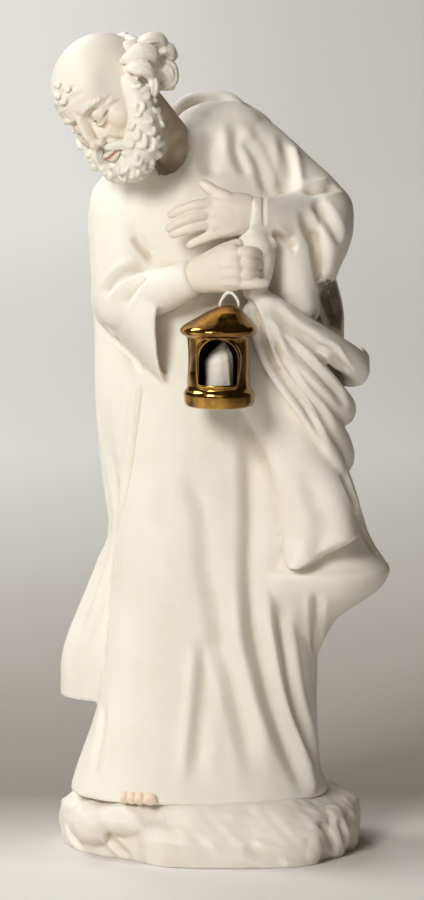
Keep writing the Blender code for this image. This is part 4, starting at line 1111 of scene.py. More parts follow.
@dataclass
class BowedHead:
    """The bald, bearded head, modelled upright in a frame of its own and then bowed."""

    centre: tuple[float, float, float] = (-28.2, -25.5, 214.6)
    forward: tuple[float, float, float] = (-0.42, -0.70, -0.58)
    up: tuple[float, float, float] = (-0.70, -0.16, 0.70)
    scale: float = 1.15
    eye: tuple[float, float, float] = (3.9, -8.75, -0.4)
    eye_radius: float = 2.45
    voxel: float = 0.24

    def frame(self) -> Matrix:
        """The transform from the upright head to the bowed one."""
        ahead, top = Vector(self.forward).normalized(), Vector(self.up).normalized()
        side = (-ahead).cross(top).normalized()
        top = side.cross(-ahead)
        turn = Matrix((side, -ahead, top)).transposed().to_4x4()
        return Matrix.Translation(self.centre) @ turn @ Matrix.Scale(self.scale, 4)

    def skull(self) -> bpy.types.Mesh:
        """The cranium and jaw with the eye sockets pressed in."""
        bodies = [
            ball((0, 1, 2.4), (11.3, 13.4, 11.8), detail=5), ball((0, -4.6, -6), (8.4, 8, 10), detail=5),
            ball((0, -9.6, -14.2), (3.8, 3.4, 3)),
        ]
        clay = Clay(fused(bodies, 0.34, 4))
        x, _, z = self.eye
        for side in (-1, 1):
            clay.dab((side * x, -11.4, z), 2.7, 2.5)
            clay.dab((side * 1.9, -12.2, z + 0.6), 1.4, 0.7)
            clay.dab((side * 10.4, -5.6, 3.0), 3.6, 0.7)
            clay.dab((side * 6.4, -9.6, -8.6), 2.6, 0.9)
        clay.refresh()
        return clay.mesh

    def features(self) -> list[Body]:
        """Brow, nose, lids, cheekbones, lips and ears."""
        x, y, z = self.eye
        bodies = [
            limb([
                (0, -9.6, 4.2, 1.2, 1.6), (0, -11.4, 1.6, 0.95, 1.5), (0, -12.8, -1.6, 1.1, 1.7),
                (0, -14, -4.4, 1.5, 1.7),
            ], tip=0.25),
            ball((0, -14.1, -4.9), (1.45, 1.5, 1.35)),
            limb([
                (-3.4, -11.6, -9.3, 0.35, 0.5), (-1.3, -12.9, -8.85, 0.62, 0.8), (0, -13.1, -9, 0.5, 0.75),
                (1.3, -12.9, -8.85, 0.62, 0.8), (3.4, -11.6, -9.3, 0.35, 0.5),
            ], around=20),
            limb([
                (-2.9, -11.6, -10, 0.4, 0.5), (0, -12.9, -10.4, 0.85, 0.9), (2.9, -11.6, -10, 0.4, 0.5),
            ], around=20),
        ]
        for side in (-1, 1):
            bodies += [
                limb([
                    (side * 1.5, -11.2, 2.2, 0.6, 0.7), (side * 4.0, -11.3, 3.0, 0.8, 0.9),
                    (side * 7.6, -8.4, 2.1, 0.6, 0.8),
                ], around=20),
                ball((side * x, y, z), (self.eye_radius,) * 3),
                limb([
                    (side * 1.7, -10.7, z - 1.2, 0.35, 0.5), (side * x, y - 2.45, z - 2.0, 0.42, 0.5),
                    (side * 6.2, -9.6, z - 1.1, 0.35, 0.5),
                ], around=16),
                ball((side * 1.55, -13.2, -5.4), (1.05, 1.3, 1)),
                ball((side * 5.6, -7.7, -4.2), (3.4, 2.9, 3)),
                ball((side * 11.0, 1.4, -1.2), (1.1, 2.4, 3.6), (0, side * 6, 0)),
                limb([
                    (side * 11.2, -1.0, -1.0, 0.6, 0.6), (side * 12.0, -0.8, 2.0, 0.65, 0.6),
                    (side * 12.4, 1.6, 3.2, 0.7, 0.6), (side * 12.4, 3.8, 1.4, 0.7, 0.6),
                    (side * 11.8, 3.0, -2.4, 0.7, 0.6), (side * 11.2, 0.8, -4.8, 0.9, 0.8),
                ], facing=(side, 0, 0), around=16),
            ]
        return bodies

    def build(self, finish: Bisque) -> Thing:
        """Models, paints and dresses the head.

        Args:
            finish: the bisque that it is tinted in.

        Returns:
            The piece.
        """
        skull = bmesh.new()
        skull.from_mesh(self.skull())
        clay = Clay(fused([skull, *self.features()], self.voxel, 9))
        x, y, z = self.eye
        painted: list[tuple[Tone, np.ndarray, float, float]] = []
        for side in (-1, 1):
            lash = clay.dropped([
                (side * (x - 2.2), z - 0.75), (side * (x - 0.9), z - 1.35), (side * (x + 0.5), z - 1.45),
                (side * (x + 2.3), z - 0.7),
            ], Side.FRONT, 0.12)
            painted.append((Tone.LINE_AND_SHADE, lash, 0.3, 0.8))
            clay.press(lash, 0.3, 0.28, 0.22)
            crease = clay.dropped([
                (side * (x - 2.1), z + 0.9), (side * (x - 0.4), z + 1.75), (side * (x + 1.0), z + 1.7),
                (side * (x + 2.7), z + 0.5),
            ], Side.FRONT, 0.15)
            clay.press(crease, 0.45, 0.35, 0.3)
            painted.append((Tone.LINE_AND_SHADE, crease, 0.26, 0.14))
        clay.fold(
            [
                Fold(depth, wide, [(side * a, b) for a, b in line], lip=0.3)
                for side in (-1, 1)
                for depth, wide, line in (
                    (0.30, 0.45, [(2.2, -3), (3.8, -3.9), (5.8, -3.2)]),
                    (0.45, 0.6, [(2, -5), (3.4, -7), (4.6, -9.4)]),
                    (0.22, 0.4, [(6.8, 0.4), (7.8, 0.9), (8.7, 0.8)]),
                    (0.20, 0.4, [(6.8, -0.6), (7.9, -1), (8.8, -1.8)]),
                    (0.30, 0.35, [(0.75, 2), (0.85, 3.4), (0.7, 4.6)]),
                )
            ]
            + [
                Fold(0.22, 0.55, [(-6.4, 6), (-2.6, 6.7), (2.6, 6.7), (6.4, 6)], lip=0.5),
                Fold(0.18, 0.5, [(-5.4, 8), (-1.8, 8.8), (2.4, 8.7), (5.2, 8.1)], lip=0.5),
                Fold(0.30, 0.4, [(0, -6.9), (0, -7.8), (0, -8.5)], lip=0.3),
            ]
        )
        lips = clay.dropped([
            (-3.2, -9.6), (-1.2, -9.55), (0, -9.75), (1.2, -9.55), (3.2, -9.6),
        ], Side.FRONT, 0.12)
        clay.press(lips, 0.4, 0.25, 0.25)
        painted.append((Tone.ROSE_AND_SIDE_SHADE, lips, 0.55, 0.75))
        painted.append((Tone.LINE_AND_SHADE, lips, 0.26, 0.25))
        for side in (-1, 1):
            nostril = (side * 0.95, -14.2, -6.3)
            clay.dab(nostril, 0.42, 0.4)
            for strand in range(9):
                start = 1.4 + strand * 0.75
                line = [
                    (side * start, 2.1 + 0.6 * math.sin(start / 2.6)),
                    (side * (start + 0.7), 3.6 + 0.4 * math.sin(start / 2.6) - 0.08 * start),
                ]
                clay.press(clay.dropped(line, Side.FRONT, 0.1), 0.16, 0.16, 0.16)
        clay.grain(0.012, 6, 11)
        clay.refresh()
        clay.tones[:, Tone.FLESH.value] = 0.15
        clay.blush(Tone.FLESH, (0, -11, -3), 11.0, 0.55)
        for side in (-1, 1):
            clay.blush(Tone.FLESH, (side * 5.6, -10.6, -4.4), 3.2, 1.0)
            clay.blush(Tone.FLESH, (side * 11.6, 1.0, 0.0), 4.0, 0.9)
            clay.blush(Tone.FLESH, (side * x, -11.2, z + 0.8), 2.4, 0.8)
        clay.blush(Tone.FLESH, (0, -15.6, -5), 2.4, 0.9)
        for tone, track, width, amount in painted:
            clay.paint(tone, track, width, amount)
        self.neck(finish)
        return dress("head", clay.done(self.frame()), finish.material())

    def neck(self, finish: Bisque) -> None:
        """Models and dresses the neck, bent towards the bowed head."""
        path = [
            (-6, -4, 189, 8, 7.6), (-10, -8.6, 197.5, 7.2, 7), (-15.2, -13.6, 205.5, 6.8, 6.6),
            (-20.5, -19, 212, 7.2, 7),
        ]
        clay = Clay(fused([limb(path, around=48)], 0.4, 2))
        clay.fold([
            Fold(0.8, 1.6, [(-5, 204), (-9, 199), (-11, 193)], lip=0.4),
            Fold(0.6, 1.4, [(-10.5, 209), (-14, 204), (-15, 198)], lip=0.4),
        ])
        clay.tones[:, Tone.FLESH.value] = 0.5
        # a darker, browner copy of the bisque as painted shade, for the neck under the bowed head
        shaded = Bisque(name="neck_shaded_bisque", ivory=(0.66, 0.56, 0.43), pale=(0.72, 0.62, 0.49), blush=0.3)
        dress("neck", clay.done(), shaded.material())


@dataclass
class Curls:
    """Carved hair and beard: small curled locks on plain masses."""

    head: BowedHead
    finish: Bisque
    voxel: float = 0.27

    def curl(
        self, at: Row, out: Row, down: Row, size: float, hand: int, thick: float = 0.85, sweep: float = 3.6,
    ) -> Body:
        """One lock that curls in on itself.

        Args:
            at: its root.
            out: the direction away from the head.
            down: the direction that it first grows in.
            size: the radius of its curl.
            hand: 1 to curl one way, -1 for the other.
            thick: its half thickness.
            sweep: how far round it curls, in radians.

        Returns:
            The closed body.
        """
        out_way = unit(np.array(out, float))
        down_way = np.array(down, float)
        down_way = unit(down_way - out_way * (down_way @ out_way))
        side = np.cross(out_way, down_way) * hand
        rows = []
        for share in np.linspace(0, 1, 7):
            angle = sweep * share
            radius = size * (1 - 0.5 * share)
            spot = np.array(at) + down_way * (
                size * math.sin(angle) * (1 - 0.35 * share)
                + 0.5 * size * share
            ) + side * (size - radius * math.cos(angle))
            spot = spot + out_way * (0.35 * thick * math.sin(math.pi * share) - 0.3 * share)
            swell = thick * (0.75 + 0.5 * math.sin(math.pi * min(1.0, share * 1.2))) * (1 - 0.35 * share)
            rows.append((*spot, swell, swell * 0.9))
        return limb(rows, facing=tuple(out_way), around=12, along=22, tip=0.16)

    def tress(self, path: Table, facing: Row, strands: int = 3) -> list[Body]:
        """A broad lock split into parallel strands.

        Args:
            path: rows of x, y, z, half width, half thickness.
            facing: the direction away from the head.
            strands: how many strands.

        Returns:
            The closed bodies.
        """
        rows = np.array(path, float)
        ahead = unit(np.gradient(rows[:, :3], axis=0))
        side = unit(np.cross(ahead, np.array(facing, float)))
        bodies = []
        for strand in range(strands):
            share = (strand + 0.5) / strands * 2 - 1
            wide, thick = rows[:, 3:4], rows[:, 4:5]
            lift = np.array(facing, float) * (0.25 * thick * math.cos(share * 1.4))
            spots = rows[:, :3] + side * wide * share * 0.85 + lift
            half = np.hstack([wide / strands * 1.35, thick * 0.8])
            bodies.append(
                limb(np.hstack([spots, half]).tolist(), facing=facing, around=14, along=30, tip=0.2)
            )
        return bodies

    def whiskers(self) -> list[Body]:
        """The plain mass under the beard's curls, from ear to ear round the chin."""
        bodies = [ball((0, -8.6, -14.2), (7.2, 5.4, 4.2)), ball((0, -8.6, -15.4), (5.6, 4.8, 3.6))]
        for side in (-1, 1):
            bodies.append(
                limb([
                    (side * 10.4, -1.4, 2.2, 1.7, 1.7), (side * 10.4, -3.0, -3.6, 2.9, 2.9),
                    (side * 8.8, -5.8, -8.8, 4.1, 4.1), (side * 5.4, -7.8, -12.6, 4.7, 4.6),
                    (side * 2.6, -8.6, -14.0, 4.4, 4.0),
                ], around=32)
            )
        return bodies

    def beard(self) -> Thing:
        """The full curled beard, which runs up to the ears, and the moustache."""
        rng = np.random.default_rng(7)
        mass = fused(self.whiskers(), 0.5, 3)
        tree = BVHTree.FromPolygons(
            [v.co for v in mass.vertices], [tuple(f.vertices) for f in mass.polygons],
        )
        middle = Vector((0, -3.5, -8))
        bodies = self.whiskers()
        for side in (-1, 1):
            bodies += self.tress([
                (side * 0.5, -13.1, -7.2, 0.6, 0.6), (side * 2.3, -13.0, -7.7, 0.95, 0.8),
                (side * 4.3, -11.9, -9.2, 1.15, 0.95), (side * 5.8, -10.9, -11.6, 0.9, 0.9),
            ], (0, -1, 0.2), 3)
        for level in range(9):
            count = max(5, 23 - 2 * level)
            for step in range(count):
                turn = ((step + 0.25 + 0.5 * (level % 2)) / count - 0.5) * 2 * 112 + rng.uniform(-3, 3)
                edge = -12 + 66 * (abs(turn) - 34) / 64 if abs(turn) > 34 else -26 + 14 * abs(turn) / 34
                tilt = edge - level * 13 + rng.uniform(-2, 2)
                if tilt < -88:
                    continue
                across, lift = math.radians(turn), math.radians(tilt)
                way = Vector(
                    (math.sin(across) * math.cos(lift), -math.cos(across) * math.cos(lift), math.sin(lift))
                )
                spot, normal, _, _ = tree.ray_cast(middle + way * 30, -way)
                if spot is None:
                    continue
                hand = 1 if (step + level) % 2 else -1
                size = rng.uniform(1.05, 1.5)
                bodies.append(
                    self.curl(
                        spot + normal * 0.1, normal, (0.3 * math.sin(across), -0.2, -1), size, hand,
                        rng.uniform(0.55, 0.72), rng.uniform(2.4, 3.8),
                    )
                )
        clay = Clay(fused(bodies, self.voxel, 3))
        return dress("beard", thinned_done(clay, self.head.frame()), self.finish.material())

    def hair(self) -> Thing:
        """The curled hair round the back and sides, below the bald crown, and the forelock."""
        rng = np.random.default_rng(21)
        bodies = [ball((0, 8.2, -2), (10, 6.4, 8.2))]
        for side in (-1, 1):
            bodies.append(ball((side * 9.2, 6.6, 0.6), (2.8, 4.6, 5.6)))
        for level, (height, reach, count) in enumerate(
            ((6.4, 0.98, 12), (3, 1.06, 13), (-0.6, 1.08, 12), (-4.2, 1.03, 11), (-7.6, 0.92, 9))
        ):
            for step in range(count):
                turn = (
                    (step + 0.5 * (level % 2) + 0.25) / (count - 0.5) - 0.5
                ) * 2 * 1.9 + rng.uniform(-0.06, 0.06)
                if turn > 1.0:
                    continue
                spot = (
                    11.2 * reach * math.sin(turn), 2.0 + 12.4 * reach * math.cos(turn),
                    height - (1.4 if abs(turn) > 1.5 else 0),
                )
                out = (math.sin(turn), math.cos(turn), 0.1)
                bodies.append(
                    self.curl(
                        spot, out, (0.5 * rng.uniform(-1, 1), 0.2, -1), rng.uniform(1.5, 2.1),
                        1 if (step + level) % 2 else -1, rng.uniform(1.05, 1.35), rng.uniform(3.2, 4.4),
                    )
                )
        bodies += self.forelock()
        frame = self.head.frame()
        for body in bodies:
            bmesh.ops.transform(body, matrix=frame, verts=body.verts)
        bodies += self.swept_locks()
        clay = Clay(fused(bodies, self.voxel + 0.03, 3))
        return dress("hair", thinned_done(clay, Matrix.Identity(4)), self.finish.material())

    def forelock(self) -> list[Body]:
        """The small curls left at the top of the forehead, on the crown's ellipsoid."""
        bodies = []
        for x, z, hand in (
            (-1.2, 11.2, 1), (1, 10.9, -1), (-2.2, 9.5, 1), (0, 9.3, -1), (2, 9.2, 1), (-1, 7.8, 1),
            (1.2, 7.7, -1),
        ):
            share = 1 - (x / 11.3) ** 2 - ((z - 2.4) / 11.8) ** 2
            spot = np.array((x, 1.0 - 13.4 * math.sqrt(share), z))
            out = unit((spot - np.array((0, 1, 2.4))) / np.array((11.3, 13.4, 11.8)) ** 2)
            bodies.append(self.curl(spot + out * 0.25, out, (0.2 * hand, -0.4, -1), 0.85, hand, 0.62, 3.4))
        return bodies

    def swept_locks(self) -> list[Body]:
        """The heavy locks over the left ear, in the figure's own frame."""
        toward = (0.15, -1, 0.2)
        bodies = [
            ball((-15.4, -28, 222.6), (4, 4.8, 5.6)), ball((-12.8, -24, 220.6), (3.4, 4.8, 5.2)),
            ball((-18.2, -31.4, 218), (2.8, 2.6, 3.6)),
        ]
        for path, strands in (
            ([
                (-19.6, -32, 228.6, 1, 1.6), (-16.8, -32.2, 229.6, 1.7, 2.6), (-14.2, -31, 229.8, 1.8, 2.8),
                (-12, -29, 228.2, 1.4, 2.2),
            ], 3),
            ([
                (-24.2, -35.4, 223.4, 0.7, 1.2), (-21.8, -36.8, 225, 1.6, 2), (-18.8, -37, 226.6, 2.4, 2.6),
                (-15.9, -35.8, 226, 2.3, 2.6), (-14.8, -33.6, 224, 1.5, 2),
            ], 4),
            ([
                (-22.6, -36.8, 222.2, 0.9, 1.4), (-19.9, -37.8, 222.2, 1.9, 2.2),
                (-17.2, -37.4, 221.8, 2, 2.4), (-16.2, -36, 220.2, 1.4, 2), (-17.3, -36, 219.2, 0.9, 1.4),
            ], 3),
            ([(-13.8, -30, 227, 1.8, 2.6), (-11.2, -28, 226.6, 1.9, 2.8), (-9.8, -25.6, 224, 1.6, 2.6)], 3),
            ([
                (-13.6, -31, 222.8, 2, 2.8), (-11.2, -29.6, 221.4, 2.5, 3.2),
                (-10.8, -28.2, 218.4, 2.3, 2.8), (-12.8, -28.8, 215.9, 1.2, 2),
            ], 3),
            ([
                (-15.4, -35.6, 219.8, 1.2, 1.5), (-15, -35.8, 217, 1.4, 1.6), (-15.6, -35.2, 214, 1, 1.2),
            ], 2),
        ):
            bodies += self.tress(path, toward, strands)
        return bodies

    def build(self) -> None:
        """Makes the beard and the hair."""
        self.beard()
        self.hair()


def thinned_done(clay: Clay, place: Matrix, triangles: int = 150_000) -> bpy.types.Mesh:
    """Finishes a skin after collapsing it to a number of triangles."""
    clay.refresh()
    return Clay(thinned(clay.mesh, triangles)).done(place)


@dataclass
class Hands:
    """The hand laid on the chest and the fist that carries the lantern."""

    finish: Bisque
    voxel: float = 0.26

    def finger(self, start: Row, knuckle: Row, end: Row, thick: float) -> Body:
        """A finger with soft joints.

        Args:
            start: its root.
            knuckle: the middle of its length.
            end: the centre of its tip.
            thick: its half thickness at the root.

        Returns:
            The closed body.
        """
        a, b, c = (np.array(p, float) for p in (start, knuckle, end))
        rows = []
        for share, swell in (
            (0, 1), (0.3, 0.92), (0.46, 1), (0.62, 0.84), (0.76, 0.86), (0.88, 0.76), (1, 0.58),
        ):
            spot = (1 - share) ** 2 * a + 2 * share * (1 - share) * (2 * b - (a + c) / 2) + share**2 * c
            rows.append((*spot, thick * swell, thick * swell * 0.92))
        return limb(rows, around=20, along=40, tip=0.1)

    def left(self) -> Thing:
        """The hand on the chest, its fingers together and its thumb up."""
        bodies = [
            limb([
                (13.8, -27.4, 182.2, 4.4, 3.2), (9.6, -29.4, 182.2, 5.6, 3), (5, -30.8, 181.8, 6.2, 2.6),
                (1, -31.2, 181.2, 5.7, 2), (-2.4, -31.2, 180.4, 4.4, 1.3),
            ], around=48, tip=0.2),
            self.finger((2.4, -31, 185.2), (-4.8, -32, 184.2), (-11.4, -30.2, 181.4), 1.62),
            self.finger((1, -31.5, 182.2), (-5.8, -32.6, 180.9), (-12, -30.6, 177.6), 1.6),
            self.finger((1, -31.3, 179.6), (-5.2, -32.2, 178.2), (-11, -30.4, 175.9), 1.5),
            self.finger((4.4, -30.6, 177), (-1.4, -31.2, 175.4), (-6.2, -30, 173), 1.4),
            self.finger((9.6, -29.8, 184.6), (3.4, -30.8, 187.3), (-2.8, -29, 191), 1.9),
        ]
        clay = Clay(fused(bodies, self.voxel, 4))
        clay.fold([
            Fold(0.28, 1.1, [(-1, 183.6), (4, 183.6), (8.6, 183.2)], lip=0.5),
            Fold(0.26, 1.1, [(-1.4, 180.6), (4, 181), (8.6, 181.6)], lip=0.5),
            Fold(0.24, 1.0, [(0.8, 177.9), (5, 178.8), (8.8, 180.2)], lip=0.5),
            Fold(0.22, 0.35, [(-9.6, 182.8), (-10.6, 182.6), (-11.4, 182)]),
            Fold(0.22, 0.35, [(-10.2, 179.2), (-11.2, 178.8), (-12, 178.2)]),
        ])
        return self.finished(
            clay,
            "left_hand",
            [
                (-11, -31, 181.6), (-11.6, -31, 177.8), (-10.4, -31, 175.8), (-6, -31, 173),
                (-2.6, -29.6, 190.8), (2, -33, 182),
            ],
        )

    def right(self) -> Thing:
        """The fist that grips the bunched mantle and the lantern's ring."""
        bodies = [
            limb([
                (-5.8, -28.4, 164.4, 4.2, 3.8), (-2, -30.6, 165.4, 5.2, 3.8), (2.6, -32.8, 166.8, 6.3, 3.6),
                (6.6, -34.4, 167.8, 6.5, 3.2), (9.6, -34.6, 168.2, 5.8, 2.6),
            ], around=48, tip=0.18)
        ]
        for height in (172, 168.9, 165.9):
            bodies.append(
                limb([
                    (7.6, -35.2, height, 1.7, 1.7), (10.6, -35.2, height - 0.2, 1.85, 1.85),
                    (13.2, -32.2, height - 0.5, 1.6, 1.6), (13.6, -29.0, height - 0.9, 1.45, 1.45),
                    (11.6, -27.4, height - 1.0, 1.3, 1.3),
                ], around=20, tip=0.1)
            )
        bodies += [
            limb([
                (5.6, -34, 163.6, 1.8, 1.8), (9.6, -35, 163.2, 1.55, 1.55), (13.4, -34.9, 163.3, 1.4, 1.4),
                (16.6, -33.8, 163.5, 1.05, 1.05),
            ], around=20, tip=0.12),
            limb([
                (-0.6, -31.4, 169.8, 2, 2), (4.4, -32.6, 172.6, 1.8, 1.8), (9.4, -31.8, 174.4, 1.5, 1.5),
            ], around=20, tip=0.16),
        ]
        clay = Clay(fused(bodies, self.voxel, 4))
        clay.fold([
            Fold(0.26, 1.0, [(2.6, 169.8), (6, 170.4), (10.4, 170.5)], lip=0.5),
            Fold(0.26, 1.0, [(2.4, 167.2), (6, 167.4), (10.6, 167.4)], lip=0.5),
            Fold(0.24, 0.9, [(2.6, 164.8), (6, 164.8), (10.4, 164.6)], lip=0.5),
            Fold(0.2, 0.35, [(15, 164.2), (15.8, 164.3), (16.6, 163.9)]),
        ])
        return self.finished(
            clay,
            "right_hand",
            [(12, -36, 172), (12.4, -36, 169), (12, -36, 166), (14, -34.6, 163.4), (6, -35, 168)],
        )

    def finished(self, clay: Clay, name: str, warm: Table) -> Thing:
        """Paints and dresses a hand.

        Args:
            clay: its skin.
            name: the piece's name.
            warm: where the flesh tint is strongest.

        Returns:
            The piece.
        """
        clay.grain(0.01, 5, 3)
        clay.tones[:, Tone.FLESH.value] = 0.55
        for spot in warm:
            clay.blush(Tone.FLESH, spot, 2.6, 1.0)
        return dress(name, clay.done(), self.finish.material())

    def build(self) -> None:
        """Makes both hands."""
        self.left()
        self.right()


@dataclass
class Rock:
    """The low rock that the figure stands on, with its plates, lumps and clefts."""

    width: float = 86.0
    depth: float = 68.0
    height: float = 17.2
    voxel: float = 0.5
    finish: Bisque = field(
        default_factory=lambda: Bisque(
            name="rock_bisque", ivory=(0.79, 0.74, 0.645), pale=(0.84, 0.795, 0.71),
        )
    )

    def outline(self) -> Table:
        """Where the rock meets the ground, as shares of its half sizes, with the height of its rim."""
        return [
            (0, 1, 13), (-0.37, 0.985, 13), (-0.7, 0.82, 12), (-0.91, 0.56, 12), (-0.99, 0.23, 11.5),
            (-0.94, -0.09, 12), (-0.84, -0.32, 12.5), (-0.69, -0.52, 12), (-0.51, -0.67, 10.5),
            (-0.335, -0.9, 8.5), (-0.14, -0.98, 8), (0.047, -0.995, 7.5), (0.28, -0.99, 7),
            (0.51, -0.955, 8), (0.66, -0.87, 10), (0.73, -0.72, 12.5), (0.84, -0.48, 12.5),
            (0.93, -0.23, 13), (0.995, 0.06, 13), (0.99, 0.38, 12), (0.86, 0.68, 12), (0.65, 0.87, 13),
            (0.35, 0.97, 13), (0, 1, 13),
        ]

    def slab(self) -> Body:
        """The main body: flat below, a short steep side up to its rim, then a slope up to the hem."""
        side = [
            (0.93, -0.2, 0), (0.985, 0, 0), (1, 0.35, 0), (1, 0.8, 0), (0.976, 1, 0), (0.88, 1, 0.5),
            (0.78, 1, 0.94), (0.62, 1, 1), (0.3, 1, 1), (0.02, 1, 1),
        ]

        def place(u: np.ndarray, v: np.ndarray) -> np.ndarray:
            """Points of the outline at each level."""
            x, y, rim = read(self.outline(), u).T
            reach, low, high = read(side, v).T
            z = rim * low + (self.height - rim) * high
            return np.stack([
                self.width / 2 * reach * x, self.depth / 2 * reach * y, np.minimum(z, self.height),
            ], axis=1)

        return rolled(200, 80, place)

    def build(self) -> Thing:
        """Models and dresses the rock."""
        bodies = [
            self.slab(), ball((-19, -17.5, 11.3), (14, 9.4, 5.5)), ball((-3, -20, 9.2), (19, 10.4, 6)),
            ball((-31, -10, 9), (9, 12, 6.6)), ball((26.4, -24.4, 4.6), (5.4, 6.4, 8.2), (0, 10, 20)),
            ball((33.6, -14.8, 5), (5.4, 7.6, 9.4), (0, 8, -20)), ball((37.4, -3, 5), (5.2, 9, 9.8)),
            ball((29, 2, 10), (9.6, 14, 8), (0, 20, 0)),
        ]
        clay = Clay(fused(bodies, self.voxel, 3))
        clay.grain(0.16, 8, 9)
        clay.refresh()
        clay.fold([
            Fold(1.1, 1.2, [(30.6, 12), (32.6, 8), (34.4, 4.4), (35.6, 0.8)], lip=0.3),
            Fold(1.1, 1.1, [(36, 11.5), (38, 7), (38.4, 3), (38.2, 0.6)], lip=0.3),
            Fold(0.8, 1.0, [(-28.6, 8), (-27, 5), (-21.5, 0.8)], lip=0.5),
            Fold(0.7, 1.2, [(-41, 8.6), (-39, 4.6), (-34.6, 0.8)], lip=0.5),
            Fold(0.7, 1.6, [(10, 7.2), (14, 4), (22, 1)], lip=0.4),
            Fold(0.6, 2.2, [(-30, 14), (-18, 12.4), (-4, 11.2), (10, 11), (22, 11.6)]),
            Fold(1.0, 1.4, [(-24, 11), (-30, 6), (-34, 1)], Side.BACK, lip=0.4),
            Fold(1.0, 1.4, [(10, 12), (14, 6), (16, 1)], Side.BACK, lip=0.4),
            Fold(1.0, 1.4, [(4, 12), (10, 6), (12, 1)], Side.LEFT, lip=0.4),
        ])
        clay.points[:, 2] = np.maximum(clay.points[:, 2], 0.0)
        return dress("rock", clay.done(), self.finish.material())


@dataclass
class Toes:
    """The bare toes that show under the hem."""

    finish: Bisque
    voxel: float = 0.22

    def build(self) -> Thing:
        """Models and dresses the toes."""
        bodies = []
        for x, y, wide in (
            (-23.6, -25, 1.15), (-21.6, -26.2, 1.25), (-19.4, -27.2, 1.35), (-16.4, -27.8, 1.9),
        ):
            bodies.append(
                limb([
                    (x, y + 7.0, 19.0, wide, 1.6), (x, y + 3.0, 18.4, wide, 1.5),
                    (x, y + 0.4, 17.4, wide, 1.2),
                ], around=20)
            )
        clay = Clay(fused(bodies, self.voxel, 2))
        clay.tones[:, Tone.FLESH.value] = 1.0
        return dress("toes", clay.done(), self.finish.material())


@dataclass
class Lantern:
    """The gilt lantern: a thick turned shell with one arched window in a raised frame."""

    place: tuple[float, float, float] = (2.7, -34.5, 129.6)
    turn: float = -2.0
    eave: float = 10.6
    body: float = 8.7
    foot: float = 9.8
    height: float = 27.8
    roof: float = 8.2
    wall: float = 1.3
    floor: float = 3.0
    sill: float = 6.6
    window: tuple[float, float] = (10.6, 12.6)
    lean: float = 2.4
    voxel: float = 0.2
    finish: GoldLustre = field(default_factory=GoldLustre)

    def frame(self) -> Matrix:
        """Where the lantern hangs."""
        return Matrix.Translation(self.place) @ Matrix.Rotation(math.radians(self.turn), 4, "Z")

    def shell(self) -> Body:
        """The turned outside."""
        eave, body, foot, high = self.eave, self.body, self.foot, self.height
        under = high - self.roof
        return turned([
            (0, high), (1.3, high - 0.05), (2.6, high - 0.4), (4.9, high - 1.7), (7.2, high - 3.5),
            (9.0, high - 4.8), (eave - 0.5, high - 5.7), (eave, high - 6.7), (eave - 0.3, high - 7.6),
            (eave - 1.1, under), (body + 0.2, under - 0.4), (body - 0.1, under - 1.2), (body - 0.2, 10.0),
            (body, 5.6), (body + 0.3, 4.8), (foot - 0.2, 4.2), (foot, 3.4), (foot - 0.1, 1.4),
            (foot - 0.5, 0.4), (foot - 1.3, 0), (0, 0),
        ])

    def arch(self) -> Body:
        """The window's space: an upright prism with a round top through the front of the shell."""
        width, height = self.window
        half, arcs, low = width / 2, 16, self.sill
        outline = [(-half, low), (half, low)]
        for step in range(arcs + 1):
            angle = math.pi * step / arcs
            outline.append((half * math.cos(angle), low + height - half + half * math.sin(angle)))
        body = bmesh.new()
        face = body.faces.new([body.verts.new((x, -2.0, z)) for x, z in outline])
        pushed = bmesh.ops.extrude_face_region(body, geom=[face])
        moved = [item for item in pushed["geom"] if isinstance(item, bmesh.types.BMVert)]
        bmesh.ops.translate(body, verts=moved, vec=(0, -self.foot - 1.0, 0))
        bmesh.ops.recalc_face_normals(body, faces=body.faces)
        return body

    def rim(self) -> Body:
        """The raised round-edged frame of the window, bent to the shell."""
        width, height = self.window
        half, thick = width / 2 + 0.3, 0.62
        spring = self.sill + height - width / 2

        def place(u: np.ndarray, v: np.ndarray) -> np.ndarray:
            """Points round the frame's bead."""
            angle = 2 * math.pi * v
            x = half * np.cos(angle)
            upper = np.sin(angle) > 0
            z = np.where(
                upper,
                spring + half * np.sin(angle),
                np.maximum(spring + 1.9 * (spring - self.sill) * np.sin(angle), self.sill - 0.35),
            )
            turn = 2 * math.pi * u
            grow = 1 + thick * np.cos(turn) / half
            x, z = x * grow, spring + (z - spring) * np.where(
                upper, grow, 1 + thick * np.cos(turn) / (spring - self.sill),
            )
            reach = np.sqrt(np.maximum(self.body**2 - x**2, 1.0)) + thick * (0.25 + 0.85 * np.sin(turn))
            return np.stack([x, -reach, z], axis=1)

        return rolled(14, 80, place)

    def build(self) -> Thing:
        """Models, paints and dresses the lantern."""
        inner, room = self.body - self.wall, self.height - self.roof + 0.5
        spaces = [
            turned([
                (0, room + 2.5), (inner - 3, room + 1.5), (inner, room), (inner, self.floor),
                (0, self.floor),
            ])
        ]
        spaces.append(self.arch())
        clay = Clay(fused([self.shell(), self.rim()], self.voxel, 6, spaces))
        shoulder = self.height - self.roof
        above = np.clip((clay.points[:, 2] - shoulder - 1.5) / (self.roof - 1.5), 0, 1)
        clay.points[:, 0] += self.lean * above**1.4
        clay.points[:, 0] += 0.12 * np.sin(clay.points[:, 2] * 0.5 + 1.0)
        clay.refresh()
        # painted shade: near black inside the shell
        radius = np.hypot(clay.points[:, 0], clay.points[:, 1])
        inside = (radius < inner + 0.15) & (clay.points[:, 2] < room + 1) & (
            clay.points[:, 2] > self.floor - 0.3
        )
        clay.tones[:, Tone.LINE_AND_SHADE.value] = np.where(inside, 0.9, 0.0)
        # painted shade: darker towards the lantern's right side
        clay.tones[:, Tone.ROSE_AND_SIDE_SHADE.value] = np.clip((clay.points[:, 0] - 0.5) / 6.0, 0, 0.9)
        return dress("gilt_lantern", clay.done(self.frame()), self.finish.material(), "lantern")


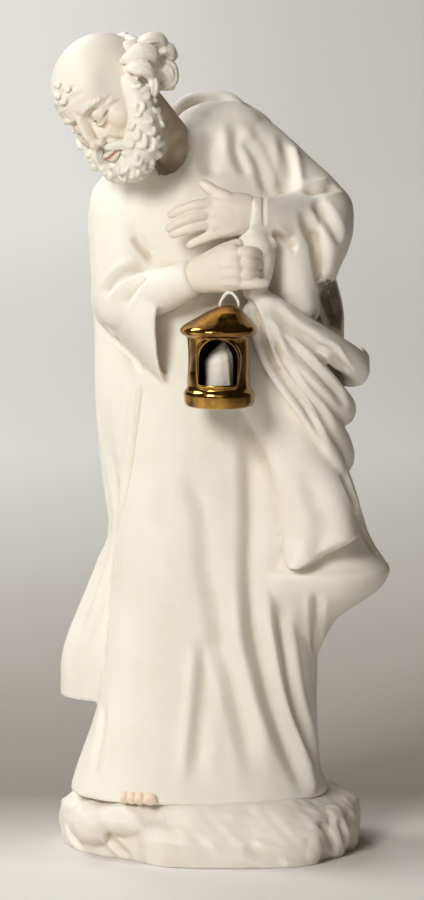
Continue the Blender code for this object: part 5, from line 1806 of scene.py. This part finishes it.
@dataclass
class Candle:
    """The pale candle with its pointed flame."""

    lantern: Lantern
    width: float = 7.8
    height: float = 10.4
    flame: float = 4.2
    clearance: float = 0.3
    finish: Bisque = field(default_factory=lambda: Bisque(name="candle_bisque", blush=0.0))

    def build(self) -> Thing:
        """Models and dresses the candle."""
        half, low = self.width / 2, self.lantern.floor + self.clearance
        top = low + self.height
        profile = [
            (0, top + self.flame), (half * 0.18, top + self.flame * 0.9),
            (half * 0.5, top + self.flame * 0.56), (half * 0.8, top + self.flame * 0.2),
            (half * 0.95, top - 0.3), (half, top - 1.4), (half, low + 0.3), (half - 0.3, low), (0, low),
        ]
        clay = Clay(fused([turned(profile, 64)], 0.2, 4))
        tip = np.clip((clay.points[:, 2] - top + 1.0) / self.flame, 0, 1.2)
        clay.points[:, 0] += 1.1 * tip
        turn = np.arctan2(clay.points[:, 1], clay.points[:, 0])
        pleat = 0.16 * np.sin(
            turn * 9
            + 0.25 * clay.points[:, 2]
        ) * np.clip(1 - np.abs(turn + 0.5) / 0.9, 0, 1)
        clay.points[:, :2] *= (1 + pleat[:, None] / half)
        clay.grain(0.03, 3, 5)
        return dress(
            "wax_candle", clay.done(self.lantern.frame()), self.finish.material(), "candle",
        )


@dataclass(frozen=True)
class Lamp:
    """A square soft light and the point that it looks at, in metres."""

    name: str
    place: Row
    size: float
    watts: float
    colour: Row
    target: Row = CHEST


@dataclass
class Studio:
    """The paper sweep, the soft lights and the camera at the photograph's angle."""

    camera_place: tuple[float, float, float] = (0.0008, -1.285, 0.273)
    tilt_down: float = 7.09
    focal_pixels: float = 4590.0
    frame_height: float = 900.0
    paper_width: float = 7.0
    paper_length: float = 8.4
    paper_front: float = 3.4
    bend: float = 2.9
    bend_radius: float = 0.6
    room_tone: tuple[float, float, float] = (1, 0.76, 0.50)
    room_strength: float = 0.05
    finish: StudioPaper = field(default_factory=StudioPaper)
    lamps: tuple[Lamp, ...] = (
        Lamp("key", (-0.62, -1.12, 0.80), 0.42, 14.0, (1, 0.985, 0.955)),
        Lamp("front", (-0.1, -1.6, 0.7), 0.8, 1.2, (1, 0.98, 0.95)),
        Lamp("top", (-0.75, 0.25, 1.1), 0.6, 11.5, (1, 0.995, 0.985), (0, 1.2, 0.35)),
        Lamp("wall", (-1.1, 2.5, 1.8), 1.2, 32.0, (1, 0.995, 0.985), (0, 2.4, 0)),
    )

    def sweep(self) -> None:
        """The floor that curves up behind the figure."""
        body = bmesh.new()
        bmesh.ops.create_grid(body, x_segments=8, y_segments=80, size=0.5)
        bend, radius = self.bend, self.bend_radius
        for vert in body.verts:
            run = (vert.co.y + 0.5) * self.paper_length - self.paper_front
            x = vert.co.x * self.paper_width
            if run < bend:
                vert.co = (x, run, 0)
            elif run < bend + radius * math.pi / 2:
                angle = (run - bend) / radius
                vert.co = (x, bend + radius * math.sin(angle), radius * (1 - math.cos(angle)))
            else:
                vert.co = (x, bend + radius, radius + run - bend - radius * math.pi / 2)
        bmesh.ops.recalc_face_normals(body, faces=body.faces)
        mesh = bpy.data.meshes.new("paper_sweep")
        body.to_mesh(mesh)
        body.free()
        mesh.shade_smooth()
        floor = linked("paper_sweep", mesh)
        mesh.materials.append(self.finish.material())

    def light(self, lamp: Lamp) -> None:
        """Adds one of the lights."""
        light = bpy.data.lights.new(lamp.name, "AREA")
        light.size, light.energy, light.color = lamp.size, lamp.watts, lamp.colour
        thing = linked(lamp.name, light)
        thing.location = lamp.place
        thing.rotation_mode = "QUATERNION"
        ahead = Vector(lamp.target) - Vector(lamp.place)
        thing.rotation_quaternion = ahead.to_track_quat("-Z", "Y")

    def camera(self) -> None:
        """Sets the camera where the photograph was taken from."""
        lens = bpy.data.cameras.new("camera")
        lens.sensor_width = 36
        lens.lens = self.focal_pixels / self.frame_height * lens.sensor_width
        thing = linked("camera", lens)
        thing.location = self.camera_place
        tilt = math.radians(self.tilt_down)
        thing.rotation_mode = "QUATERNION"
        thing.rotation_quaternion = Vector((0, math.cos(tilt), -math.sin(tilt))).to_track_quat("-Z", "Y")
        bpy.context.scene.camera = thing

    def build(self) -> None:
        """Sets up the whole studio."""
        self.camera()
        self.sweep()
        for lamp in self.lamps:
            self.light(lamp)
        bpy.context.scene.view_settings.view_transform = "Standard"
        world = bpy.data.worlds.new("room")
        bpy.context.scene.world = world
        world.use_nodes = True
        room = world.node_tree.nodes["Background"]
        room.inputs["Color"].default_value = (*self.room_tone, 1)
        room.inputs["Strength"].default_value = self.room_strength
        LOG.info("studio ready")


def main() -> None:
    """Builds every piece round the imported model."""
    logging.basicConfig(level=logging.INFO, format="%(name)s: %(message)s")
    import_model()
    Studio().build()
    Drapery().build()
    bisque = Bisque()
    head = BowedHead()
    head.build(bisque)
    Curls(head, Bisque(name="hair_bisque", blush=0.12)).build()
    Hands(Bisque(name="tinted_bisque", blush=0.34)).build()
    Toes(Bisque(name="toe_bisque", blush=0.62)).build()
    Rock().build()
    lantern = Lantern()
    lantern.build()
    Candle(lantern).build()


if __name__ == "__main__":
    main()
